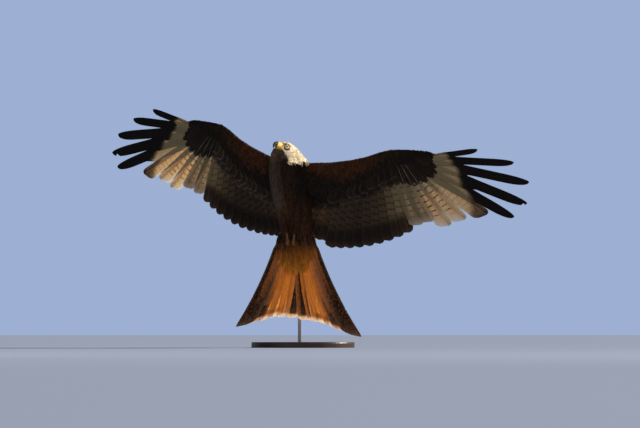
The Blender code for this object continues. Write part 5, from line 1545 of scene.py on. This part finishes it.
def build_tail_coverts(name, face, finish):
    """Rows of long coverts over the base of the fan, on one face"""
    blade = LONG_BLADE
    wide = TAIL_COVERT_HALF * pointed_profile(blade.along) * (0.3 + 0.7 * ease(blade.along, 0.0, 0.25))
    step = TAIL_COVERT_STEP
    made = []
    for row, (down_start, reach_out, length) in enumerate(TAIL_COVERT_ROWS):
        for across_start in np.arange(-reach_out + 0.5 * step * (row % 2), reach_out, step):
            turn = FAN_SPREAD * across_start + rng.normal(0.0, 0.05)
            along = blade.along * length * rng.uniform(0.82, 1.15)
            reach = blade.across * wide
            across = FAN_BASE_MIDDLE + across_start + math.sin(turn) * along + math.cos(turn) * reach
            down = down_start + rng.normal(0.0, 0.003) + math.cos(turn) * along - math.sin(turn) * reach
            deep = FAN_NARROW * np.interp(down, FAN_OUT, FAN_DEEP)
            hollow = np.clip(1.0 - (across - FAN_BASE_MIDDLE) ** 2 / 0.055 ** 2, 0.15, 1.0)
            rise = deep * hollow + 0.0034 - 0.0002 * row + 0.0012 * blade.along
            rise = clear_of_skin(across, down, rise, face) - 0.0022
            rise += 0.0036 * np.minimum(1.0, 3.0 * blade.along)
            marks, lines = blank_marks(blade.size)
            # Painted light: glow stands for light shining through the coverts towards the fan, and its lack
            # below for painted shade at the vent
            glow = ease(down + rng.normal(0.0, 0.006), -0.020, 0.100)
            marks[:, 0] = VENT_DARK[face] * (1.0 - glow)
            marks[:, 2] = 0.50 * glow * ease(blade.along, 0.2, 0.9)
            marks[:, 3] = rng.uniform(0.1, 0.9) * (0.6 + 0.4 * glow)
            lines[:, 1] = 0.10
            lines[:, 2] = rng.uniform(0.0, 0.6)
            made.append((tail_places(across, down, face * rise + 0.0002 * blade.side), marks, lines))
    points, marks, lines = map(np.array, zip(*made))
    return join_blades(name, blade, points, marks, lines, skin_patches(points[:, 0]), finish)


build_tail_coverts("undertail_coverts", -1.0, TAIL_FINISH)
build_tail_coverts("uppertail_coverts", 1.0, TAIL_FINISH)

# %% [markdown]
# Body feathers overlap like tiles from the face to the vent. Roots are spread evenly over the skin,
# close on the face and wide on the belly, by throwing seeded darts that keep their distance. Each
# feather points down the lie of the coat and is draped on the skin, a little lifted at its tip.

# %% Spread roots over head and body
# The coated part of the skin: its right and left edges, how much wider it is at the shoulders,
# and its lowest edge, where the tail coverts take over
COAT_RIGHT = (-0.095, -0.035)
COAT_LEFT = (0.042, 0.036)
COAT_LOWEST = 0.318
DART_CELL = 0.0066
DARTS = 80000


def feather_spacing(points):
    """The distance between roots at places of the body"""
    head = head_places(points)
    away = np.linalg.norm(points - HEAD_CENTRE, axis=1)
    face = 0.0016 + 0.0007 * ease(-head[:, 0], -15.0, 25.0)
    body = 0.0038 + 0.0010 * (1.0 - ease(points[:, 2], 0.35, 0.60))
    return face + (body - face) * ease(away, 0.050, 0.105)


def lie(points):
    """The direction that feathers point in at places of the body"""
    away = np.linalg.norm(points - HEAD_CENTRE, axis=1)
    blend = ease(away, 0.035, 0.085)[:, None]
    return -HEAD_FORWARD * (1.0 - blend) + np.array((0.0, 0.0, -1.0)) * blend


print("roots apart on the head:", round(1000 * feather_spacing(HEAD_CENTRE[None])[0], 1), "mm")


# %% Throw the darts
def spread_roots(tries):
    """Seeded darts on the skin of head and body that keep their distance"""
    corners = np.array([tuple(face.vertices) for face in skin_mesh.polygons if len(face.vertices) == 4])
    first, second, third, fourth = (skin_places[corners[:, place]] for place in range(4))
    normal = np.cross(third - first, fourth - second)
    areas = np.linalg.norm(normal, axis=1) / 2
    centre = (first + third) / 2
    high = ease(centre[:, 2], 0.45, 0.48)
    ragged = rng.uniform(-0.010, 0.010, len(centre))
    keep = centre[:, 0] > COAT_RIGHT[0] + COAT_RIGHT[1] * high
    keep &= centre[:, 0] < COAT_LEFT[0] + COAT_LEFT[1] * high + ragged
    keep &= centre[:, 2] > COAT_LOWEST
    spacing = feather_spacing(centre)
    weight = areas * keep / spacing ** 2
    chosen = rng.choice(len(corners), tries, p=weight / weight.sum())
    u, v = rng.random((2, tries, 1))
    places = (first[chosen] * (1 - u) * (1 - v) + second[chosen] * u * (1 - v)
              + third[chosen] * u * v + fourth[chosen] * (1 - u) * v)
    normals = normal[chosen] / np.linalg.norm(normal[chosen], axis=1, keepdims=True)
    gaps = feather_spacing(places)
    around = list(itertools.product((-1, 0, 1), repeat=3))
    cells = {}
    kept = []
    for index, place in enumerate(places):
        x, y, z = (place // DART_CELL).astype(int)
        others = [other for right, back, up in around
                  for other in cells.get((x + right, y + back, z + up), ())]
        if not others or np.min(np.sum((places[others] - place) ** 2, axis=1)) >= gaps[index] ** 2:
            cells.setdefault((x, y, z), []).append(index)
            kept.append(index)
    return places[kept], normals[kept]


body_roots, body_normals = spread_roots(DARTS)
print("body and head feathers:", len(body_roots))

# %% Lay the body feathers
EYE_CLEAR = 0.0084
HEAD_REACH = 0.050
STREAK_WAVE = 0.75


def build_body_feathers():
    """Head and body feathers, in pieces by region"""
    blade = SMALL_BLADE
    away = np.linalg.norm(body_roots - HEAD_CENTRE, axis=1)
    on_head = away < HEAD_REACH
    face, face_left, face_up = head_places(body_roots).T
    bare = (face > 17.5) & (away < 0.03) & (face_up > -10.0) | (eye_distance(body_roots) < EYE_CLEAR)
    flow = lie(body_roots)
    flow = flow - body_normals * np.sum(flow * body_normals, axis=1, keepdims=True)
    flow += rng.normal(0.0, 0.10, flow.shape)
    flow -= body_normals * np.sum(flow * body_normals, axis=1, keepdims=True)
    flow /= np.linalg.norm(flow, axis=1, keepdims=True)
    across = np.cross(flow, body_normals)
    gap = feather_spacing(body_roots)
    marks = body_marks(body_roots, body_normals, rng.normal(0.0, 0.0022, len(gap)))
    cream = ease(marks[:, 1], 0.4, 0.7)
    marks[:, 3] = np.where(cream > 0.5, rng.uniform(0.3, 0.7, len(gap)), rng.uniform(0.0, 1.0, len(gap)))
    length = gap * np.where(on_head, 3.2, 4.6 - 0.2 * cream) * rng.uniform(0.85, 1.15, len(gap))
    hooded = cream > 0.5
    width = gap * np.where(on_head, 0.60, 0.66 - 0.18 * cream)
    wave = 0.5 + 0.5 * np.sin(STREAK_WAVE * face_left + 1.5 * np.sin(0.12 * face))
    streak = (0.08 + 0.85 * ease(-face, 2.0, 34.0) * wave ** 2) * cream
    streaked = rng.random(len(gap)) < streak
    before = body_normals[:, 1] < 0
    regions = (("head_feathers", hooded & ~bare), ("front_body_feathers", ~hooded & ~bare & before),
               ("back_body_feathers", ~hooded & ~bare & ~before))
    for name, pick in regions:
        chosen = np.flatnonzero(pick)
        down = blade.along[None, :, None] * length[chosen][:, None, None]
        reach = (blade.across * pointed_profile(blade.along))[None, :, None] * width[chosen][:, None, None]
        flat = body_roots[chosen][:, None] + flow[chosen][:, None] * down + across[chosen][:, None] * reach
        lift = -0.0005 + (0.10 * gap[chosen][:, None] + 0.0009) * blade.along[None]
        points = drape(flat, lift + 0.00014 * blade.side[None])
        own = np.repeat(marks[chosen][:, None], blade.size, axis=1)
        middle = np.abs(blade.across)[None] < 0.5
        own[..., 0] = np.clip(own[..., 0] + 0.75 * streaked[chosen][:, None] * middle, 0.0, 1.0)
        lines = np.zeros((len(chosen), blade.size, 3))
        lines[..., 1] = (0.35 * (1.0 - cream[chosen]) * rng.uniform(0.0, 1.0, len(chosen)))[:, None]
        lines[..., 2] = 0.5 - 0.4 * cream[chosen][:, None]
        join_blades(name, blade, points, own, lines, skin_patches(body_roots[chosen]), BODY_FINISH)


build_body_feathers()

# %% [markdown]
# Short tufts fall from the thighs over the tops of the shanks, so that no leg starts bare.

# %% The trousers
TUFT_COUNT = 16
TUFT_LENGTH = 0.030
TUFT_HALF = 0.0030
TUFT_RING = 0.0050


def build_trousers():
    """A ring of narrow feathers round the top of each shank"""
    blade = LONG_BLADE
    points = []
    for name in ("foot_left", "foot_right"):
        places = np.array([vert.co for vert in NODES[name].data.vertices])
        top = places[places[:, 2] > places[:, 2].max() - 0.006].mean(axis=0)
        for index in range(TUFT_COUNT):
            angle = 2 * math.pi * index / TUFT_COUNT + rng.normal(0.0, 0.1)
            out = np.array((math.cos(angle), math.sin(angle), 0.0))
            side = np.array((-math.sin(angle), math.cos(angle), 0.0))
            length = TUFT_LENGTH * rng.uniform(0.75, 1.15)
            ring = TUFT_RING * (0.8 + 0.5 * np.sin(math.pi * blade.along)) + 0.0002 * blade.side
            wide = TUFT_HALF * blade.across * pointed_profile(blade.along)
            down = 0.010 - length * blade.along
            points.append(top + out * ring[:, None] + side * wide[:, None]
                          + np.array((0.0, 0.0, 1.0)) * down[:, None])
    points = np.array(points)
    marks = body_marks(points[:, 0], np.tile((0.0, -1.0, 0.0), (len(points), 1)))
    marks[:, 3] = rng.uniform(0.2, 0.9, len(marks))
    marks = np.repeat(marks[:, None], blade.size, axis=1)
    return join_blades("trouser_feathers", blade, points, marks, np.zeros((len(points), blade.size, 3)),
                       skin_patches(points[:, 0]), BODY_FINISH)


build_trousers()

# %% [markdown]
# Bill, eyes, feet and claws are built again, finer, in the place of their solids, and the stand
# keeps its own. The bill is dark horn that pales towards its root, under a waxy yellow cere with
# two nostrils. A tube of rings across a curved middle line gives both halves their hook and taper.

# %% Middle lines and rings of the bill
# Each row: forward and up in head terms, half the height and half the width, all in mm
BILL_UPPER = (
    (14.0, 0.8, 9.6, 9.9),
    (20.0, 0.7, 9.2, 8.8),
    (26.0, 0.3, 8.4, 7.2),
    (31.0, -0.9, 7.4, 5.9),
    (36.0, -3.6, 6.2, 4.6),
    (40.0, -8.2, 4.8, 3.3),
    (42.0, -13.4, 3.3, 2.2),
    (42.0, -18.4, 1.9, 1.3),
    (40.8, -23.2, 0.5, 0.4),
)
BILL_LOWER = (
    (12.0, -11.2, 3.0, 9.0),
    (18.0, -11.3, 3.0, 7.6),
    (24.0, -11.5, 2.7, 6.2),
    (30.0, -12.0, 2.2, 4.4),
    (34.0, -12.6, 1.6, 2.8),
    (36.5, -13.0, 0.6, 1.0),
)
# Each half: node, rows, rings, real material, colour of tip and root, softness and end of the root
BILL_HALVES = (
    ("bill_upper", BILL_UPPER, 30, "blue-black horn of the bill", "#1d2029", "#4c4a48", 330.0, 0.0335),
    ("bill_lower", BILL_LOWER, 14, "lower bill, yellow at its base", "#2a2c33", "#e9b545", 400.0, 0.0350),
)
BILL_SIDES = 36


def head_coordinate(tree, axis, centre):
    """The distance from a point along a direction, in metres, as a material reads it"""
    place = add_node(tree, "ShaderNodeTexCoord").outputs["Object"]
    shift = add_node(tree, "ShaderNodeVectorMath", (place, tuple(centre)), operation="SUBTRACT")
    return add_node(tree, "ShaderNodeVectorMath", (shift, tuple(axis)), operation="DOT_PRODUCT")


def add_form(name, form, material, replaces=()):
    """Finishes a bmesh as a smooth piece"""
    bmesh.ops.recalc_face_normals(form, faces=form.faces)
    mesh = bpy.data.meshes.new(name)
    form.to_mesh(mesh)
    form.free()
    mesh.shade_smooth()
    print(name, "faces:", len(mesh.polygons))
    return add_piece(name, mesh, material, replaces)


def smooth_line(rows, count):
    """More rows along a table, on a smooth curve through the given ones"""
    table = np.array(rows)
    slopes = np.gradient(table, axis=0)
    places = np.linspace(0.0, len(table) - 1.0, count)
    index = np.minimum(places.astype(int), len(table) - 2)
    part = (places - index)[:, None]
    first = (2 * part ** 3 - 3 * part ** 2 + 1) * table[index]
    first += (part ** 3 - 2 * part ** 2 + part) * slopes[index]
    last = (3 * part ** 2 - 2 * part ** 3) * table[index + 1]
    last += (part ** 3 - part ** 2) * slopes[index + 1]
    return first + last


def bill_rings(rows, count, more=0.0):
    """Rings across the curved middle line of half the bill"""
    table = smooth_line(rows, count)
    ways = np.gradient(table[:, :2], axis=0)
    ways /= np.linalg.norm(ways, axis=1, keepdims=True)
    angles = np.linspace(0, 2 * math.pi, BILL_SIDES, endpoint=False)
    rings = []
    for (forward, up, high, wide), way in zip(table, ways):
        lift = (high + more) * np.sin(angles)
        rings.append([head_point(forward - way[1] * rise, (wide + more) * math.cos(angle), up + way[0] * rise)
                      for rise, angle in zip(lift, angles)])
    return rings


reach = HEAD_SIZE * max(row[0] for row in BILL_UPPER)
print("bill reaches", round(reach, 1), "mm ahead of the head's middle")

# %% Both halves of the bill
for node_name, rows, count, finish_name, tip, root, softness, root_end in BILL_HALVES:
    # Horn: smooth and dense, with a dull polish
    finish, tree, shader = new_material(finish_name)
    forward = head_coordinate(tree, HEAD_FORWARD, HEAD_CENTRE)
    base = add_node(tree, MATH, (forward, -softness, softness * root_end),
                    operation="MULTIPLY_ADD", use_clamp=True)
    set_inputs(tree, shader, {"Base Color": layered(tree, tip, (base, root)), "Roughness": 0.42})
    form = bmesh.new()
    bridge_rings(form, bill_rings(rows, count))
    add_form(node_name + "_horn", form, finish, (node_name,))

# %% Cere, gape and nostrils
CERE_END = 31.5
CERE_DROP = -4.0
CERE_SWELL = 0.45
NOSTRIL_PLACE = (25.8, 7.6, 2.8)
NOSTRIL_SIZE = (0.0019, 0.0010, 0.0010, 1.0)
GAPE_LINE = ((25.0, 6.6, -8.8), (22.0, 8.4, -9.0), (18.0, 11.6, -9.4), (13.0, 14.6, -10.0),
             (9.0, 16.6, -10.6))
GAPE_RINGS = 14
GAPE_SIDES = 10
GAPE_RADII = ((0, 0.2, 0.8, 1), (0.0004, 0.0013, 0.0013, 0.0004))


def tube(form, points, radii, sides):
    """A round tapering tube along a line of points"""
    points = np.asarray(points)
    ways = np.gradient(points, axis=0)
    ways /= np.linalg.norm(ways, axis=1, keepdims=True)
    angles = np.linspace(0, 2 * math.pi, sides, endpoint=False)
    rings = []
    for point, way, radius in zip(points, ways, radii):
        across = np.cross(way, (0.31, 0.27, 0.91))
        across /= np.linalg.norm(across)
        over = np.cross(way, across)
        rings.append(point + radius * (np.outer(np.cos(angles), across) + np.outer(np.sin(angles), over)))
    bridge_rings(form, rings)


# Cere: bare waxy skin, a little see-through
cere_finish, tree, shader = new_material("waxy yellow cere")
place = add_node(tree, "ShaderNodeTexCoord").outputs["Object"]
wax = add_node(tree, NOISE, {"Vector": place, "Scale": 500.0, "Detail": 2.0})
set_inputs(tree, shader, {"Base Color": layered(tree, "#f6d27c", (wax, "#dfa63a")), "Roughness": 0.38,
                          "Subsurface Weight": 0.1, "Subsurface Radius": (0.004, 0.002, 0.001)})
form = bmesh.new()
cere_rows = [row for row in smooth_line(BILL_UPPER, 60) if row[0] < CERE_END and row[1] > CERE_DROP]
swell = CERE_SWELL * np.sqrt(1.0 - np.linspace(0.0, 1.0, len(cere_rows)) ** 6)
bridge_rings(form, [bill_rings([row, row + (0.5, 0.0, 0.0, 0.0)], 2, more)[0]
                    for row, more in zip(cere_rows, swell)])
add_form("cere", form, cere_finish)

form = bmesh.new()
for side in (1.0, -1.0):
    line = np.array([head_point(row[0], side * row[1], row[2]) for row in smooth_line(GAPE_LINE, GAPE_RINGS)])
    line[3:] = drape(line[3:], 0.0004)
    tube(form, line, np.interp(np.linspace(0, 1, GAPE_RINGS), *GAPE_RADII), GAPE_SIDES)
add_form("gape", form, cere_finish)

# Nostrils: the shade inside two slits
pit_finish, tree, shader = new_material("dark inside of the nostrils")
set_inputs(tree, shader, {"Base Color": linear("#4a2c12"), "Roughness": 0.8})
form = bmesh.new()
for side in (1.0, -1.0):
    spot = Matrix.Translation(head_point(NOSTRIL_PLACE[0], side * NOSTRIL_PLACE[1], NOSTRIL_PLACE[2]))
    bmesh.ops.create_uvsphere(form, u_segments=20, v_segments=12, radius=1.0,
                              matrix=spot @ HEAD_AXES @ Matrix.Diagonal(NOSTRIL_SIZE))
add_form("nostrils", form, pit_finish)

# %% [markdown]
# A kite's eye is a wet ball with a pale iris, a round black pupil and a darker outer ring, and dark
# bare lids frame it. Iris and pupil are drawn by the distance along the line of sight, so they stay
# round from every side. The lids are a thin ring spun round that line.

# %% Eyes and lids
PUPIL_FROM = 0.00856
PUPIL_EDGE = 9000.0
IRIS_RIM_FROM = 0.0071
IRIS_RIM_EDGE = 2500.0
LID_RING = 0.0066
LID_HALF = 0.0008
LID_PROUD = 0.0006
# Lids: dry, matt, nearly black skin
lid_finish, tree, shader = new_material("dark bare skin of the eyelids")
set_inputs(tree, shader, {"Base Color": linear("#1f1a18"), "Roughness": 0.55})
for side_name, side in (("left", 1.0), ("right", -1.0)):
    axis = HEAD_FORWARD * EYE_AXIS[0] + HEAD_LEFT * EYE_AXIS[1] * side + HEAD_UP * EYE_AXIS[2]
    axis = Vector(axis).normalized()
    centre = Vector(head_point(EYE_PLACE[0], side * EYE_PLACE[1], EYE_PLACE[2]))
    # Iris: wet and smooth, so it throws a sharp highlight
    finish, tree, shader = new_material("wet pale iris, " + side_name)
    reach = head_coordinate(tree, axis, centre)
    pupil = add_node(tree, MATH, (reach, PUPIL_EDGE, -PUPIL_EDGE * PUPIL_FROM),
                     operation="MULTIPLY_ADD", use_clamp=True)
    rim = add_node(tree, MATH, (reach, -IRIS_RIM_EDGE, IRIS_RIM_EDGE * IRIS_RIM_FROM),
                   operation="MULTIPLY_ADD", use_clamp=True)
    paint = layered(tree, "#e9dcb8", (rim, "#5a4833"), (pupil, "#030303"))
    set_inputs(tree, shader, {"Base Color": paint, "Roughness": 0.10, "Specular IOR Level": 0.35})
    turn = Matrix.Translation(centre) @ axis.to_track_quat("Z", "Y").to_matrix().to_4x4()
    form = bmesh.new()
    bmesh.ops.create_uvsphere(form, u_segments=40, v_segments=28, radius=EYE_RADIUS, matrix=turn)
    add_form("eyeball_" + side_name, form, finish, ("eye_" + side_name,))
    form = bmesh.new()
    high = math.sqrt((EYE_RADIUS + LID_PROUD) ** 2 - LID_RING ** 2)
    section = bmesh.ops.create_circle(form, segments=12, radius=LID_HALF,
                                      matrix=Matrix.Translation((LID_RING, 0.0, high))
                                      @ Matrix.Rotation(math.pi / 2, 4, "X"))
    bmesh.ops.spin(form, geom=section["verts"] + form.edges[:], cent=(0, 0, 0), axis=(0, 0, 1),
                   angle=2 * math.pi, steps=48, use_merge=True)
    bmesh.ops.remove_doubles(form, verts=form.verts, dist=1e-6)
    bmesh.ops.transform(form, matrix=turn, verts=form.verts)
    add_form("lids_" + side_name, form, lid_finish)
print("eyes look along", [round(part, 2) for part in axis])

# %% [markdown]
# The toes are yellow scaled skin with black horn claws. Their solids hold the pose, so each is
# remeshed finer and smoothed in place. The stand is stained wood and brushed steel, and its solids
# are already round and plain, so they only get their finishes.

# %% Feet, claws and stand
FOOT_VOXEL = 0.0006
CLAW_VOXEL = 0.00035


def plain_finish(name, first, second, scale, roughness, metallic=0.0):
    """A finish of two close colours with a fine grain"""
    finish, tree, shader = new_material(name)
    place = add_node(tree, "ShaderNodeTexCoord").outputs["Object"]
    grain = add_node(tree, NOISE, {"Vector": place, "Scale": scale, "Detail": 4.0})
    paint = layered(tree, first, (grain, second))
    bump = add_node(tree, "ShaderNodeBump", {"Strength": 0.3, "Distance": 0.0005, "Height": grain})
    set_inputs(tree, shader, {"Base Color": paint, "Normal": bump, "Roughness": roughness,
                              "Metallic": metallic})
    return finish


def polished(name, voxel, rounds, finish):
    """A fine smooth copy of a node's solid that stands in its place"""
    mesh = remeshed(NODES[name].data.copy(), voxel, rounds)
    mesh.materials.clear()
    mesh.shade_smooth()
    return add_piece(name + "_skin", mesh, finish, (name,))


# Toe skin with scales about 1.5 mm across, claws of hard horn with a soft shine, wood under a satin
# stain that clouds over 25 mm, and steel whose brushing leaves it dull
FOOT_FINISH = plain_finish("yellow scaled skin", "#8c5a08", "#553204", 700.0, 0.5)
CLAW_FINISH = plain_finish("black horn", "#15141a", "#2a282c", 300.0, 0.3)
WOOD_FINISH = plain_finish("dark stained wood", "#2c1f18", "#46332a", 40.0, 0.4)
STEEL_FINISH = plain_finish("brushed steel", "#8f9196", "#a9abb0", 200.0, 0.35, 1.0)
for name in NODES:
    if name.startswith("foot_"):
        polished(name, FOOT_VOXEL, 4, FOOT_FINISH)
    if name.startswith("claw_"):
        polished(name, CLAW_VOXEL, 3, CLAW_FINISH)
for name, finish in (("stand_base", WOOD_FINISH), ("stand_rod", STEEL_FINISH)):
    NODES[name].data.materials.clear()
    NODES[name].data.materials.append(finish)
print("nodes still shown:", sorted(name for name in NODES if not NODES[name].hide_render))

# %% [markdown]
# The colours above were matched under a plain view transform, so that is set last.

# %% Finish
link_light(sun, ("front_body_feathers", "trouser_feathers", "skin"), "EXCLUDE")
link_light(back_lamp, ("tail_feathers", "undertail_coverts"))
link_light(tail_lamp, ("tail_feathers",))
link_light(head_sun, ("head_feathers", "cere", "gape", "nostrils", "eyeball_left", "lids_left"))
bpy.context.scene.view_settings.view_transform = "Standard"
